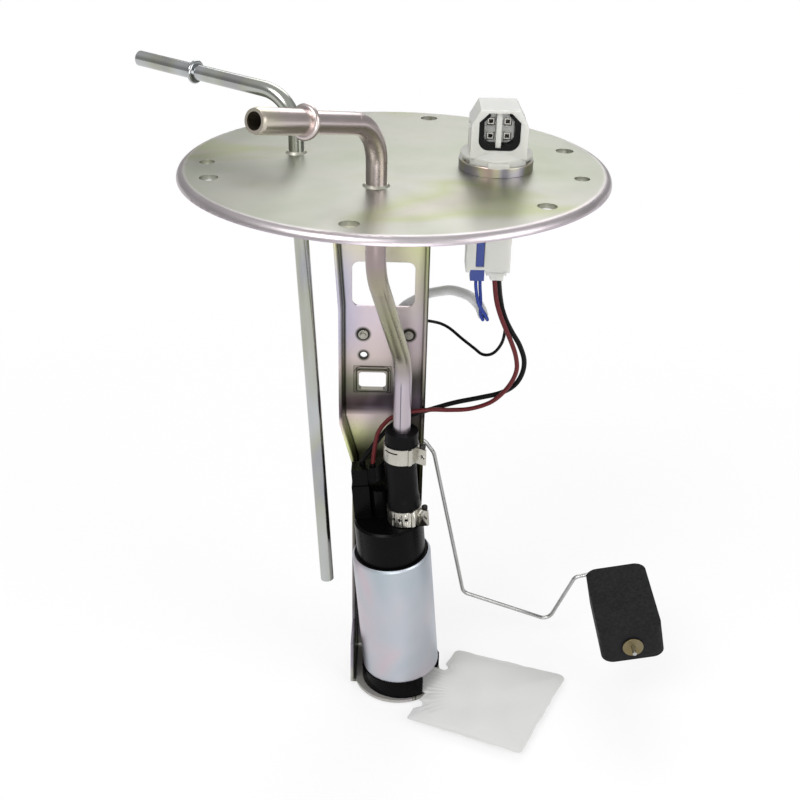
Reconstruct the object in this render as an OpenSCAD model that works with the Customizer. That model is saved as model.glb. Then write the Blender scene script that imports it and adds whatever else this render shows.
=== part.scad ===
// Tank-top fuel pump module: a zinc-plated flange that carries two fuel tubes, a wiring
// socket, a pressed hanger with an electric pump and strainer, and a float level sender.
// Origin: centre of the flange's seat face (its underside), +Z up, the socket faces -Y.

/* [Flange] */
// Outer diameter of the flange
flange_d = 170; // [160:1:180]
// Sheet thickness of the flange
flange_t = 2; // [1.6:0.1:2.6]
// Outer radius of the rolled-down rim
rim_r = 3; // [2.8:0.1:4]
// Bolt circle diameter
bolt_pcd = 147; // [140:0.5:149]
// Bolt hole diameter
bolt_d = 7.2; // [6:0.1:8]
// Angle of the first bolt hole
bolt_angle = 18.7; // [0:0.1:30]
// Diameter of the two locating holes
locate_d = 6; // [5:0.1:7]
// Inner diameter of the coined seat ring
seat_d = 128; // [124:1:132]
// Height of the seat's step
seat_step = 0.3; // [0.2:0.1:0.5]

/* [Supply tube] */
// Outside diameter of the supply tube
supply_d = 8; // [7.6:0.1:8.4]
// Wall of the supply tube
supply_wall = 1; // [0.8:0.1:1.2]
// Outside diameter of its hose end
supply_stub_d = 8.8; // [8.5:0.1:9.2]
// Place of the tube across the flange
supply_x = -6.4; // [-8:0.1:-5]
// Place of the tube along Y
supply_y = -28.7; // [-31:0.1:-26]
// Height of the elbow's corner over the seat
supply_rise = 25; // [23:0.5:28]
// Turn of the upper run, clockwise from -Y
supply_turn = 35; // [31:0.5:38]
// Climb of the upper run
supply_climb = 12; // [9:0.5:14]
// Length of the upper run, corner to open end
supply_run = 66.8; // [63:0.1:70]
// Distance of the bead from the open end
supply_stub = 25.5; // [23:0.5:28]
// Outside diameter of the supply bead
supply_bead_d = 12.4; // [11.5:0.1:13]
// Centre radius of the elbow
supply_elbow_r = 17; // [15:0.5:18]
// Height of the first bend below the flange
supply_bend_z = -33.5; // [-36:0.5:-31]
// Height of the second bend
supply_knee_z = -90; // [-93:0.5:-87]
// Centre radius of the lower bends
supply_bend_r = 29; // [24:0.5:32]
// Height of its lower end, inside the hose
supply_low_z = -140.8; // [-141.2:0.1:-140]

/* [Return tube] */
// Outside diameter of the return tube
return_d = 6.35; // [6:0.05:6.6]
// Wall of the return tube
return_wall = 0.9; // [0.7:0.1:1.1]
// Place of the tube across the flange
return_x = -39.8; // [-42:0.1:-38]
// Place of the tube along Y
return_y = 12.6; // [10:0.1:15]
// Height of the elbow's corner over the seat
return_rise = 24.5; // [23:0.5:27]
// Turn of the upper run, back from -X
return_turn = 32; // [28:0.5:35]
// Climb of the upper run
return_climb = 3; // [1:0.5:5]
// Length of the upper run, corner to open end
return_run = 82.6; // [78:0.1:86]
// Distance of the bead from the open end
return_stub = 31; // [28:0.5:33]
// Outside diameter of the return bead
return_bead_d = 9.7; // [9:0.1:10.5]
// Centre radius of the return elbow
return_elbow_r = 16; // [13:0.5:17]
// Height of the set below the flange
return_set_z = -12; // [-15:0.5:-10]
// Lean of the lower leg toward the pump
return_lean = 3; // [2:0.1:4]
// Height of the lower end
return_low_z = -209.5; // [-214:0.5:-204]

/* [Connector] */
// Place of the connector across the flange
conn_x = 39.6; // [38:0.1:41]
// Place of the connector along Y
conn_y = -2; // [-4:0.1:0]
// Outside diameter of the steel ring
ring_d = 29.2; // [28:0.1:30.5]
// Height of the ring over the flange
ring_h = 3.9; // [3.5:0.1:4.5]
// Wall of the ring
ring_wall = 1.4; // [1.1:0.1:1.7]
// Width of the hood
hood_w = 21.5; // [20.5:0.1:22.5]
// Depth of the hood, front to back
hood_depth = 19.9; // [19:0.1:20.5]
// Height of the hood over the flange
hood_h = 25; // [24:0.5:27]
// Width of the socket
socket_w = 15.8; // [15:0.1:16.6]
// Height of the socket
socket_h = 14.3; // [13.5:0.1:14.4]
// Depth of the socket
socket_depth = 13; // [12:0.5:14]
// Thickness of the rubber seal
seal_t = 2; // [1.6:0.1:2.2]
// Depth of the rubber seal
seal_depth = 7; // [5:0.5:9]
// Depth of the socket in front of its contacts
face_depth = 5.2; // [4.8:0.1:6]
// Width of the plug under the flange
plug_w = 17.9; // [17.5:0.1:19]
// Depth of that plug, front to back
plug_depth = 12; // [11:0.5:13]
// Height of the lower face of the plug
plug_low_z = -41.5; // [-43:0.5:-40]
// Height of the joint between housing and plug
plug_top_z = -20; // [-22:0.5:-18]

/* [Hanger bracket] */
// Sheet thickness of the hanger
sheet_t = 1.5; // [1.2:0.1:1.7]
// Outer radius of the sheet's bends
fold_r = 3; // [2.5:0.1:3.5]
// Left edge of the hanger at the flange
hanger_top_left = -28.6; // [-30:0.1:-27]
// Height where that edge stops tapering
taper_z = -72; // [-75:0.5:-69]
// Left edge of the hanger's middle part
hanger_left = -23.9; // [-25:0.1:-23]
// Right edge of the hanger
hanger_right = 15.8; // [15.4:0.1:16.6]
// Left edge of its lower part
hanger_low_left = -17.8; // [-18.6:0.1:-17.4]
// Front face of the upper part
hanger_y = 31; // [30:0.1:32]
// Step back of the lower part
hanger_step = 3.5; // [3:0.1:4]
// Depth of the side flanges
side_depth = 9; // [7:0.5:10]
// Top of the step
step_top_z = -118; // [-119.5:0.5:-117]
// Bottom of the step
step_low_z = -129.5; // [-131:0.5:-128]
// Top of the slant on the left edge
slant_top_z = -130.2; // [-131.2:0.5:-128.7]
// Bottom of the slant
slant_low_z = -152.5; // [-154:0.5:-151]
// Lower end of the right side flange
right_flange_end_z = -187; // [-189:0.5:-184]
// Top of the foot plate
foot_z = -269.5; // [-271:0.5:-268]
// Radius of the round foot
foot_r = 22; // [21:0.5:23]
// Front edge of the gusset on the left of the foot
gusset_y = 8; // [6:0.5:10]
// Height of the gusset
gusset_h = 26; // [24:0.5:28]
// Length of the welding tab at the top
tab_len = 16; // [14:0.5:18]
// Width of the upper window
window_w = 28; // [25:0.5:29]
// Height of the upper window
window_h = 21.3; // [20:0.1:23]
// Centre height of the upper window
window_z = -62; // [-64:0.1:-61]
// Width of the lipped window
slot_w = 12.6; // [12:0.1:13.5]
// Height of the lipped window
slot_h = 9; // [8.5:0.1:9.4]
// Breadth of its drawn lip
lip_w = 2.1; // [1.8:0.1:2.3]

/* [Pump] */
// Outside diameter of the pump can
can_d = 38; // [37.5:0.1:38.5]
// Wall of the can
can_wall = 1.2; // [1:0.1:1.4]
// Length of the can
can_h = 67.4; // [66:0.1:69]
// Place of the can's foot across the flange
pump_x = 7.5; // [7:0.1:8]
// Place of the can's foot along Y
pump_y = 14; // [13.5:0.1:14.2]
// Height of the can's foot
pump_z = -259.6; // [-260.5:0.1:-259]
// Lean of the pump toward -X
pump_lean = 5; // [4.5:0.1:5.5]
// Diameter of the plastic cap
cap_d = 33; // [32.4:0.1:33.6]
// Height of the cap's shoulder along the pump
cap_h = 86.4; // [85:0.1:87]
// Offset of the outlet from the pump's axis
outlet_x = 8; // [7.6:0.1:8.4]
// Offset of the outlet along Y
outlet_y = -3; // [-3.5:0.1:-2.5]
// Outside diameter of the armature
armature_d = 22; // [20:0.5:22.8]
// Length of the armature
armature_h = 32; // [28:0.5:33]
// Diameter of the motor shaft
shaft_d = 3; // [2.6:0.1:3.4]
// Running clearance of the motor shaft, on the radius
shaft_gap = 0.04; // [0.02:0.01:0.08]
// Outside diameter of the impeller
impeller_d = 28; // [26:0.5:29]
// Thickness of the impeller
impeller_t = 3; // [2.6:0.1:3.2]

/* [Outlet hose and clamps] */
// Outside diameter of the hose
hose_d = 14.4; // [14:0.1:14.8]
// Outside diameter of its ends, stretched over the tube and the outlet
hose_end_d = 15.2; // [14.9:0.1:15.6]
// Height of the hose's upper end
hose_top_z = -124.5; // [-126:0.5:-123]
// Corner of the hose along the pump
hose_corner = 117; // [116:0.5:118]
// Width of the clamp bands
clamp_w = 8; // [7:0.5:8.5]
// Thickness of the clamp bands
clamp_t = 0.6; // [0.5:0.1:0.8]
// Centre height of the upper clamp
upper_clamp_z = -134.9; // [-135.5:0.1:-133]
// Middle of the lower clamp over the cap's shoulder
lower_clamp_up = 4.4; // [4.3:0.1:5.5]

/* [Strainer] */
// Width of the sock's near side
sock_w = 58.7; // [56:0.1:61]
// How much wider its far side is
sock_flare = 3.7; // [0:0.1:5]
// Shift of the far side toward the back
sock_skew = 7; // [0:0.5:9]
// Length of the sock
sock_l = 58.7; // [56:0.1:61]
// Thickness of the sock
sock_t = 3.2; // [2.6:0.1:3.6]
// Turn of the sock in plan
sock_turn = -27; // [-29:0.5:-25]
// Width of the neck under the pump
neck_w = 20; // [18:0.5:20.5]
// Diameter of the pump's inlet spigot
inlet_d = 10; // [9:0.1:10.6]
// Outside diameter of the strainer's collar
collar_d = 16; // [14.5:0.1:17]
// Outside diameter of the rubber cushion
cushion_d = 39; // [38.4:0.1:39.6]
// Diameter of the hole in the cushion
cushion_hole_d = 25; // [24:0.5:28]

/* [Level sender] */
// Height of the arm's pivot
pivot_z = -136; // [-138:0.5:-134]
// Place of the pivot across the flange
pivot_x = -3; // [-4:0.5:-2]
// Plane of the float arm
arm_y = 48; // [47.6:0.1:49]
// Diameter of the arm wire
wire_d = 2; // [1.8:0.1:2.2]
// Diameter of the pivot shaft
pivot_d = 6; // [5:0.1:7]
// Running clearance of the pivot, on the radius
pivot_gap = 0.05; // [0.02:0.01:0.08]
// Place of the float's axis across the flange
float_x = 119; // [116:0.5:121]
// Height of the float's axis
float_z = -230; // [-232:0.5:-228]
// Width of the float
float_w = 30.5; // [28:0.5:32]
// Length of the float
float_l = 53; // [50:0.5:55]
// Thickness of the float
float_t = 17; // [15:0.5:18]
// Tilt of the float on its wire
float_tilt = 12; // [0:1:20]

/* [Wiring] */
// Diameter of the black pump wire
black_wire_d = 2.2; // [1.8:0.1:2.4]
// Diameter of the red pump wire
red_wire_d = 2; // [1.8:0.1:2.2]
// Diameter of the thin earth wire
thin_wire_d = 1.4; // [1.2:0.1:1.6]
// Diameter of the blue sender wires
blue_wire_d = 1.4; // [1.2:0.1:1.6]
// Diameter of the protective sleeve
sleeve_d = 5.4; // [5:0.1:5.8]

/* [Hidden] */
$fn = 64;
eps = 0.01;
cut = 0.5;
lap = 0.25;

flange_r = flange_d / 2;
bolt_r = bolt_pcd / 2;
locate_angles = [-11.5, -177.4];
face_gap = 0.3;

supply_r = supply_d / 2;
return_r = return_d / 2;

ring_r = ring_d / 2;
ring_top = flange_t + ring_h;
hood_top = flange_t + hood_h;
hood_front = -11;
base_t = 2.6;
base_top = ring_top + base_t;
socket_low = base_top + 3;
plug_shift = -1.1;
contact_w = 2.6;
contact_h = 2.4;
rib_t = 2;
rib_x = -0.3;
blade_w = 2.3;
blade_t = 0.8;
blade_len = 7;
stem_d = ring_d - 2 * ring_wall - 0.6;
gasket_h = 2.4;

can_r = can_d / 2;
cap_r = cap_d / 2;
bore_r = can_r - can_wall;
sump_gap = 0.05;
nipple_r = supply_r;
hose_end_r = hose_end_d / 2;
lower_clamp_h = cap_h + lower_clamp_up;
foot_t = sheet_t;
low_y = hanger_y + hanger_step;
foot_x = 6;
foot_y = 15;
neck_shift = -1.5;
neck_low = -8.5;
neck_play = 0.4;
inlet_x = -1;
inlet_y = -1.4;
sock_z = foot_z + face_gap;
sock_top = sock_z + sock_t;
sender_t = 1.2;
arm_bend_r = 5;

// A point of the pump's own frame, in the frame of the flange
function pump_point(p) = [
    pump_x + p[0] * cos(pump_lean) - p[2] * sin(pump_lean),
    pump_y + p[1],
    pump_z + p[0] * sin(pump_lean) + p[2] * cos(pump_lean)
];
hose_bend = pump_point([outlet_x, outlet_y, hose_corner]);

// Directions of the two open tube ends
function heading(turn, climb) = [-sin(turn) * cos(climb), -cos(turn) * cos(climb), sin(climb)];
supply_dir = heading(supply_turn, supply_climb);
return_dir = heading(90 + return_turn, return_climb);
supply_corner = [supply_x, supply_y, supply_rise];
return_corner = [return_x, return_y, return_rise];
supply_path = [
    supply_corner + supply_run * supply_dir,
    supply_corner,
    [supply_x, supply_y, supply_bend_z],
    [hose_bend[0], hose_bend[1], supply_knee_z],
    [hose_bend[0], hose_bend[1], supply_low_z]
];
supply_radii = [0, supply_elbow_r, supply_bend_r, supply_bend_r, 0];
return_drop = return_set_z - return_low_z;
return_path = [
    return_corner + return_run * return_dir,
    return_corner,
    [return_x, return_y, return_set_z],
    [return_x + return_drop * tan(return_lean), return_y, return_low_z]
];
return_radii = [0, return_elbow_r, 60, 0];

// The arm wire's corners in its own plane, across and up; the float sits clear of its last bend
float_front = arm_y - 3.6 - float_l;
arm_path = [
    [pivot_x - 6.6, arm_y, pivot_z + 5.3],
    [17.5, arm_y, -152.2],
    [21.6, arm_y, -158],
    [40, arm_y, -243.4],
    [86.5, arm_y, -260.5],
    [98.3, arm_y, -232],
    [105, arm_y, float_z],
    [float_x, arm_y, float_z],
    [float_x, float_front - 6, float_z]
];
arm_radii = [0, 6, 8, 5, 5, 4, 6, 3, 0];

// Routes of the wires, as points along their middle
black_route = [[43, -4.4, -43.6], [44.2, -4.6, -52], [47.2, -4, -61.4], [50.7, -2, -68.7], [54.5, 0, -75.6],
    [57.2, 2, -83.6], [57, 4.2, -91.3], [54.2, 7, -98.6], [48.6, 10, -104], [40, 13.2, -108.2], [29.1, 17, -113],
    [18.9, 20, -118.2], [9.8, 20.4, -121.9], [0.7, 20.5, -127.4], [-5.7, 21, -135.9], [-9.8, 21, -142],
    [-12, 21, -145.5], [-12.9, 21, -148.5]];
red_route = [[41.6, -6.3, -43.6], [42.8, -6.8, -52], [44.9, -6.6, -59], [47.5, -5.2, -65.5], [50.4, -3.2, -72.4],
    [53, -1.2, -79.8], [54.2, 1, -87.4], [52.8, 3.6, -94.8], [49.4, 6.6, -102.2], [44.2, 9.6, -108.8],
    [35.8, 12.8, -113.8], [27, 15.5, -116.1], [18.8, 17.4, -117.2], [10, 17.4, -118.4], [1.4, 17.4, -121.3],
    [-2.9, 17.6, -125.4], [-5.6, 18, -130.4], [-6.8, 18.4, -136.5], [-7.5, 18.7, -142.6], [-7.9, 18.8, -148.1]];
earth_route = [[43.9, -2.4, -43.6], [45, -1.4, -52], [47.2, 2, -62.4], [48.5, 6, -69.1], [48.4, 11, -78.5],
    [46.3, 14, -84.8], [43.6, 17, -88.5], [40.3, 20, -89.8], [36.9, 24, -88.8], [31.6, 28.6, -86.4],
    [26.1, 32.8, -83.4], [22.2, 34.6, -82], [18.7, 35.1, -81.3], [15.9, 35.1, -80.9]];
sleeve_route = [[38.4, 0, -62.5], [36.8, 4, -59.7], [33.3, 9, -57.8], [29, 17.5, -59.2], [25, 24.5, -61.3],
    [20.9, 31, -64.6], [16.6, 36.5, -67.9], [13, 38.8, -70.4], [10.2, 39.8, -72.6], [5.5, 40.5, -76],
    [2.6, 40.5, -80], [1.4, 40.5, -86], [2.4, 40.5, -94], [4.4, 40.5, -101], [5.2, 40.5, -106.5]];
blue_top = [[35, -4, -44.1], [35.2, -4.1, -48], [36.4, -4.2, -55.5], [38, -4.7, -60.4], [39.1, -4, -63.2],
    [39.2, -2.2, -63.9]];
blue_end = [[5.2, 40.4, -109], [5.2, 40.2, -112.5]];
blue_path = concat(blue_top, sleeve_route, blue_end);
blue_side = [0.88, 0.42, -0.22];
blue_apart = 0.96;

// A round bar along a path with bends, built from straight lengths and parts of a torus
function unit(v) = v / norm(v);
function leg(p, i) = unit(p[i + 1] - p[i]);
function turn_angle(p, i) = acos(max(-1, min(1, leg(p, i - 1) * leg(p, i))));
function set_back(p, r, i) = (i == 0 || i == len(p) - 1) ? 0 : r[i] * tan(turn_angle(p, i) / 2);
module along(v) {
    rotate([0, acos(v[2] / norm(v)), atan2(v[1], v[0])]) children();
}
module frame_of(o, ex, ey, ez) {
    multmatrix([
        [ex[0], ey[0], ez[0], o[0]],
        [ex[1], ey[1], ez[1], o[1]],
        [ex[2], ey[2], ez[2], o[2]],
        [0, 0, 0, 1]
    ]) children();
}
module bent_bar(p, r, d, grow = 0) {
    for (i = [0 : len(p) - 2]) {
        a = p[i] + leg(p, i) * (i == 0 ? -grow : set_back(p, r, i) - lap);
        b = p[i + 1] - leg(p, i) * (i == len(p) - 2 ? -grow : set_back(p, r, i + 1) - lap);
        translate(a) along(b - a) cylinder(d = d, h = norm(b - a));
    }
    for (i = [1 : len(p) - 2]) {
        u = leg(p, i - 1);
        w = leg(p, i);
        side = unit(w - u * (u * w));
        over = 1.4 * lap / r[i] * 180 / PI;
        out = side * -cos(over) + u * -sin(over);
        centre = p[i] - u * set_back(p, r, i) + side * r[i];
        frame_of(centre, out, cross(cross(-side, u), out), cross(-side, u))
            rotate_extrude(angle = turn_angle(p, i) + 2 * over) translate([r[i], 0]) circle(d = d + 0.06, $fn = 32);
    }
}

// A flexible wire or sleeve, swept along a smooth curve through its points
function curve_at(p, i, u) = let (
    a = p[max(i - 1, 0)], b = p[i], c = p[i + 1], d = p[min(i + 2, len(p) - 1)]
) 0.5 * (2 * b + (c - a) * u + (2 * a - 5 * b + 4 * c - d) * u * u + (3 * b - a - 3 * c + d) * u * u * u);
function smooth_route(p, n) = concat(
    [for (i = [0 : len(p) - 2], k = [0 : n - 1]) curve_at(p, i, k / n)], [p[len(p) - 1]]);
function tangent(q, i) = unit(q[min(i + 1, len(q) - 1)] - q[max(i - 1, 0)]);
function across(v, t) = unit(v - t * (v * t));
function side_vectors(q) = [for (i = 0, n = across([0.31, 0.87, 0.38], tangent(q, 0)); i < len(q);
    i = i + 1, n = i < len(q) ? across(n, tangent(q, i)) : n) n];
module cord(route, d, steps = 1, sides = 8) {
    q = smooth_route(route, steps);
    n = side_vectors(q);
    rings = [for (i = [0 : len(q) - 1], k = [0 : sides - 1])
        q[i] + d / 2 * (n[i] * cos(360 * k / sides) + cross(tangent(q, i), n[i]) * sin(360 * k / sides))];
    last = (len(q) - 1) * sides;
    polyhedron(points = rings, faces = concat(
        [[for (k = [0 : sides - 1]) k]],
        [[for (k = [0 : sides - 1]) last + sides - 1 - k]],
        [for (i = [0 : len(q) - 2], k = [0 : sides - 1])
            [i * sides + k, (i + 1) * sides + k, i * sides + (k + 1) % sides]],
        [for (i = [0 : len(q) - 2], k = [0 : sides - 1])
            [(i + 1) * sides + k, (i + 1) * sides + (k + 1) % sides, i * sides + (k + 1) % sides]]
    ));
}

// Flat shapes used by several pieces
module round_rect(w, h, r) {
    square([w - 2 * r, h], center = true);
    square([w, h - 2 * r], center = true);
    for (sx = [-1, 1], sy = [-1, 1]) translate([sx * (w / 2 - r), sy * (h / 2 - r)]) circle(r, $fn = 32);
}
module ring_shape(r_out, r_in) {
    difference() {
        circle(r_out);
        circle(r_in);
    }
}
module tube(d, d_in, h) {
    difference() {
        cylinder(d = d, h = h);
        translate([0, 0, -cut]) cylinder(d = d_in, h = h + 2 * cut);
    }
}
module in_pump() {
    translate([pump_x, pump_y, pump_z]) rotate([0, -pump_lean, 0]) children();
}
module at_connector() {
    translate([conn_x, conn_y, 0]) children();
}
// Stands a flat shape drawn across and up on its edge, from y to y + depth
module upright(y, depth) {
    translate([0, y + depth, 0]) rotate([90, 0, 0]) linear_extrude(depth) children();
}

// The flange: a disc with a rim rolled down a quarter turn, and its holes
module flange_profile() {
    square([flange_r - rim_r, flange_t]);
    translate([flange_r - rim_r, flange_t - rim_r]) intersection() {
        ring_shape(rim_r, rim_r - flange_t);
        square(rim_r);
    }
}
module flange_plate() {
    color("#b9bdb3") difference() {
        rotate_extrude($fn = 128) flange_profile();
        translate([0, 0, -cut]) cylinder(d = seat_d, h = cut + seat_step);
        for (k = [0 : 5]) rotate(bolt_angle + 60 * k) translate([bolt_r, 0, -cut])
            cylinder(d = bolt_d, h = flange_t + 2 * cut);
        for (a = locate_angles) rotate(a) translate([bolt_r, 0, -cut])
            cylinder(d = locate_d, h = flange_t + 2 * cut);
        translate([supply_x, supply_y, -cut]) cylinder(d = supply_d, h = flange_t + 2 * cut);
        translate([return_x, return_y, -cut]) cylinder(d = return_d, h = flange_t + 2 * cut);
        at_connector() translate([0, 0, -cut]) cylinder(d = stem_d + 0.4, h = flange_t + 2 * cut);
    }
}

// A swaged bead that keeps a hose on, and a nose that leads it on
module bead(at, dir, d_tube, d_bead, thick) {
    translate(at) along(dir) rotate_extrude() {
        translate([d_tube / 2 - 0.4, -thick / 2]) square([(d_bead - d_tube - thick) / 2 + 0.4, thick]);
        translate([(d_bead - thick) / 2, 0]) circle(d = thick, $fn = 32);
    }
}
module supply_tube() {
    color("#a9a6b3") difference() {
        union() {
            bent_bar(supply_path, supply_radii, supply_d);
            bead(supply_path[0] - supply_dir * supply_stub, supply_dir, supply_d, supply_bead_d, 2.4);
            translate(supply_path[0] - supply_dir * supply_stub) along(supply_dir)
                cylinder(d = supply_stub_d, h = supply_stub - 1.5);
            translate(supply_path[0] - supply_dir * 1.5) along(supply_dir)
                cylinder(d1 = supply_stub_d, d2 = supply_d + 0.1, h = 1.5 - 0.05);
        }
        bent_bar(supply_path, supply_radii, supply_d - 2 * supply_wall, cut);
    }
}
module return_tube() {
    color("#9aa0a6") difference() {
        union() {
            bent_bar(return_path, return_radii, return_d);
            bead(return_path[0] - return_dir * return_stub, return_dir, return_d, return_bead_d, 1.9);
        }
        bent_bar(return_path, return_radii, return_d - 2 * return_wall, cut);
    }
}
module braze_ring(x, y, d) {
    translate([x, y, flange_t]) difference() {
        cylinder(d1 = d + 2.4, d2 = d + 0.8, h = 0.9);
        translate([0, 0, -cut]) cylinder(d = d, h = 2);
    }
}
module braze_rings() {
    color("#c8c8c0") {
        braze_ring(supply_x, supply_y, supply_d);
        braze_ring(return_x, return_y, return_d);
    }
}

// The wiring socket: a welded ring, a gasket, and a moulded housing with its seal and blades
module connector_ring() {
    color("#b7a9a0") at_connector() translate([0, 0, flange_t]) rotate_extrude() {
        translate([ring_r - ring_wall, 0]) square([ring_wall, ring_h - 0.5]);
        translate([ring_r - ring_wall, 0]) square([ring_wall - 0.5, ring_h]);
        translate([ring_r - 0.5, ring_h - 0.5]) circle(0.5, $fn = 32);
    }
}
module ring_gasket() {
    color("#202020") at_connector() translate([0, 0, flange_t])
        tube(ring_d - 2 * ring_wall - 0.2, stem_d - 4, gasket_h);
}
module hood_outline() {
    hull() {
        translate([-hood_w / 2, base_top - eps]) square([hood_w, hood_top - base_top - 6]);
        translate([-hood_w / 2 + 3.4, hood_top - 1.2]) square([hood_w - 6.8, 1.2]);
    }
}
module socket_outline(inset = 0) {
    w = socket_w - 2 * inset;
    side_h = socket_h - 3.5;
    translate([-w / 2, socket_low + 4]) square([w, side_h - 4]);
    translate([-w / 2 + 4, socket_low + inset]) square([w - 8, 5]);
    for (s = [-1, 1]) translate([s * (w / 2 - 4 + inset / 2), socket_low + 4 + inset / 2])
        circle(4 - inset / 2, $fn = 32);
    polygon([[-w / 2, socket_low + side_h - eps], [w / 2, socket_low + side_h - eps],
        [w / 2 - 3.6, socket_low + socket_h], [-w / 2 + 3.6, socket_low + socket_h]]);
}
module connector_housing() {
    color("#e6e6e2") at_connector() difference() {
        union() {
            translate([0, 0, ring_top]) cylinder(d = ring_d - 1, h = base_t);
            translate([0, 0, base_top]) cylinder(d1 = ring_d - 1, d2 = hood_w - 1, h = 3);
            translate([-4, -ring_r - 1, ring_top]) cube([8, 4, base_t - 0.8]);
            upright(hood_front, hood_depth) hood_outline();
            translate([-hood_w / 2 - 0.6, hood_front + 4, base_top]) cube([hood_w + 1.2, 6, 11]);
            translate([0, 0, flange_t + gasket_h]) cylinder(d = ring_d - 2 * ring_wall - 0.4, h = ring_h - gasket_h);
            translate([0, 0, plug_top_z]) cylinder(d = stem_d - 4.4, h = ring_top - plug_top_z);
        }
        difference() {
            upright(hood_front - cut, socket_depth + cut) socket_outline();
            translate([rib_x - rib_t / 2, hood_front + 1, socket_low + 1]) cube([rib_t, socket_depth, socket_h]);
            difference() {
                upright(hood_front + face_depth, socket_depth) socket_outline(seal_t + 0.1);
                for (p = blade_places) translate([p[0] - contact_w / 2 - 0.3, hood_front, p[1] - contact_h / 2 - 0.3])
                    cube([contact_w + 0.6, socket_depth, contact_h + 0.6]);
            }
        }
        for (s = [-1, 1]) rotate(s * 62 - 90) translate([ring_r - 2.2, -3, ring_top - cut])
            cube([4, 6, base_t - 0.6]);
        for (p = blade_places) translate([p[0] - blade_w / 2, hood_front + socket_depth - cut, p[1] - blade_t / 2])
            cube([blade_w, 4 + cut, blade_t]);
    }
}
blade_places = [for (sx = [-1, 1], z = [4.4, 10]) [sx * 3.2, socket_low + z]];
module socket_seal() {
    color("#161616") at_connector() difference() {
        intersection() {
            upright(hood_front + 0.8, seal_depth) socket_outline();
            translate([-socket_w, hood_front, 0]) cube([2 * socket_w, socket_depth, socket_low + socket_h - 1.2]);
        }
        upright(hood_front, seal_depth + 2) union() {
            socket_outline(seal_t);
            translate([-3.4, socket_low + 6]) square([6.8, socket_h]);
        }
        translate([rib_x - rib_t / 2 - 0.1, hood_front, socket_low + 1]) cube([rib_t + 0.2, socket_depth, socket_h]);
    }
}
module terminal_blades() {
    color("#b8b4a8") at_connector() for (p = blade_places) {
        translate([p[0] - contact_w / 2, hood_front + face_depth + 0.6, p[1] - contact_h / 2]) difference() {
            cube([contact_w, blade_len, contact_h]);
            translate([0.5, -cut, 0.5]) cube([contact_w - 1, blade_len - 1, contact_h - 1]);
        }
        translate([p[0] - blade_w / 2, hood_front + face_depth + blade_len, p[1] - blade_t / 2])
            cube([blade_w, socket_depth - face_depth - blade_len + 4, blade_t]);
    }
}
module at_plug() {
    at_connector() translate([plug_shift, -plug_depth / 2, plug_low_z]) children();
}
module inner_plug() {
    rise = plug_top_z - plug_low_z;
    color("#dededa") difference() {
        at_plug() {
            translate([-plug_w / 2, 0, 1.5]) cube([plug_w, plug_depth, rise - 1.5]);
            translate([-0.6, 0.6, 0]) cube([plug_w / 2 - 0.6, plug_depth - 1.2, 3]);
            translate([1.1, 0.6, -2]) cube([5.6, 7.4, 4]);
        }
        at_plug() {
            translate([-5, -cut, 4]) cube([3.4, cut + 1.4, rise]);
            translate([-7.1, -cut, -cut]) cube([6.1, cut + 7.2, cut + 2.6]);
        }
    }
}
module plug_retainer() {
    color("#3f4f9a") at_plug() {
        translate([-4.9, 0.4, 4]) cube([3.2, 0.9, plug_top_z - plug_low_z - 6]);
        translate([-7, 1, -2.5]) cube([5.8, 6, 5]);
    }
}

// Folded sheet: a ribbon seen from the side, and a flange folded along a bent edge
module ribbon(p, r, t) {
    for (i = [0 : len(p) - 2]) {
        a = p[i] + leg(p, i) * set_back(p, r, i);
        b = p[i + 1] - leg(p, i) * set_back(p, r, i + 1);
        translate(a) rotate(atan2(b[1] - a[1], b[0] - a[0])) translate([0, -t / 2]) square([norm(b - a), t]);
    }
    for (i = [1 : len(p) - 2]) if (r[i] > 0) {
        u = leg(p, i - 1);
        w = leg(p, i);
        side = unit(w - u * (u * w));
        centre = p[i] - u * set_back(p, r, i) + side * r[i];
        start = -side;
        end = unit(p[i] + w * set_back(p, r, i) - centre);
        reach = 3 * r[i];
        intersection() {
            translate(centre) ring_shape(r[i] + t / 2, r[i] - t / 2);
            polygon([centre, centre + reach * start, centre + 1.6 * reach * unit(start + end), centre + reach * end]);
        }
    }
}
// The hanger from the side: a plate with a step, and two right-angled bends
foot_low = foot_z - sheet_t;
step_slip = sheet_t * tan(atan2(hanger_step, step_top_z - step_low_z) / 2);
module hanger_side() {
    polygon([[hanger_y, seat_step - fold_r], [hanger_y, step_top_z], [low_y, step_low_z],
        [low_y, foot_low + fold_r], [low_y + sheet_t, foot_low + fold_r], [low_y + sheet_t, step_low_z + step_slip],
        [hanger_y + sheet_t, step_top_z + step_slip], [hanger_y + sheet_t, seat_step - fold_r]]);
    intersection() {
        translate([hanger_y + fold_r, seat_step - fold_r]) ring_shape(fold_r, fold_r - sheet_t);
        translate([hanger_y, seat_step - fold_r]) square(fold_r);
    }
    translate([hanger_y + fold_r, seat_step - sheet_t]) square([tab_len - fold_r, sheet_t]);
    intersection() {
        translate([low_y + sheet_t - fold_r, foot_low + fold_r]) ring_shape(fold_r, fold_r - sheet_t);
        translate([low_y + sheet_t - fold_r, foot_low]) square(fold_r);
    }
    translate([foot_y, foot_low]) square([low_y + sheet_t - fold_r - foot_y, sheet_t]);
}
module flange_side() {
    polygon([[hanger_y - side_depth, -7], [hanger_y - side_depth, step_top_z], [low_y - side_depth, step_low_z],
        [low_y - side_depth, foot_low + gusset_h], [low_y + sheet_t, foot_low + gusset_h],
        [low_y + sheet_t, step_low_z + step_slip], [hanger_y + sheet_t, step_top_z + step_slip],
        [hanger_y + sheet_t, -5], [hanger_y, -5], [hanger_y - side_depth + 2, -5]]);
}
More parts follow.
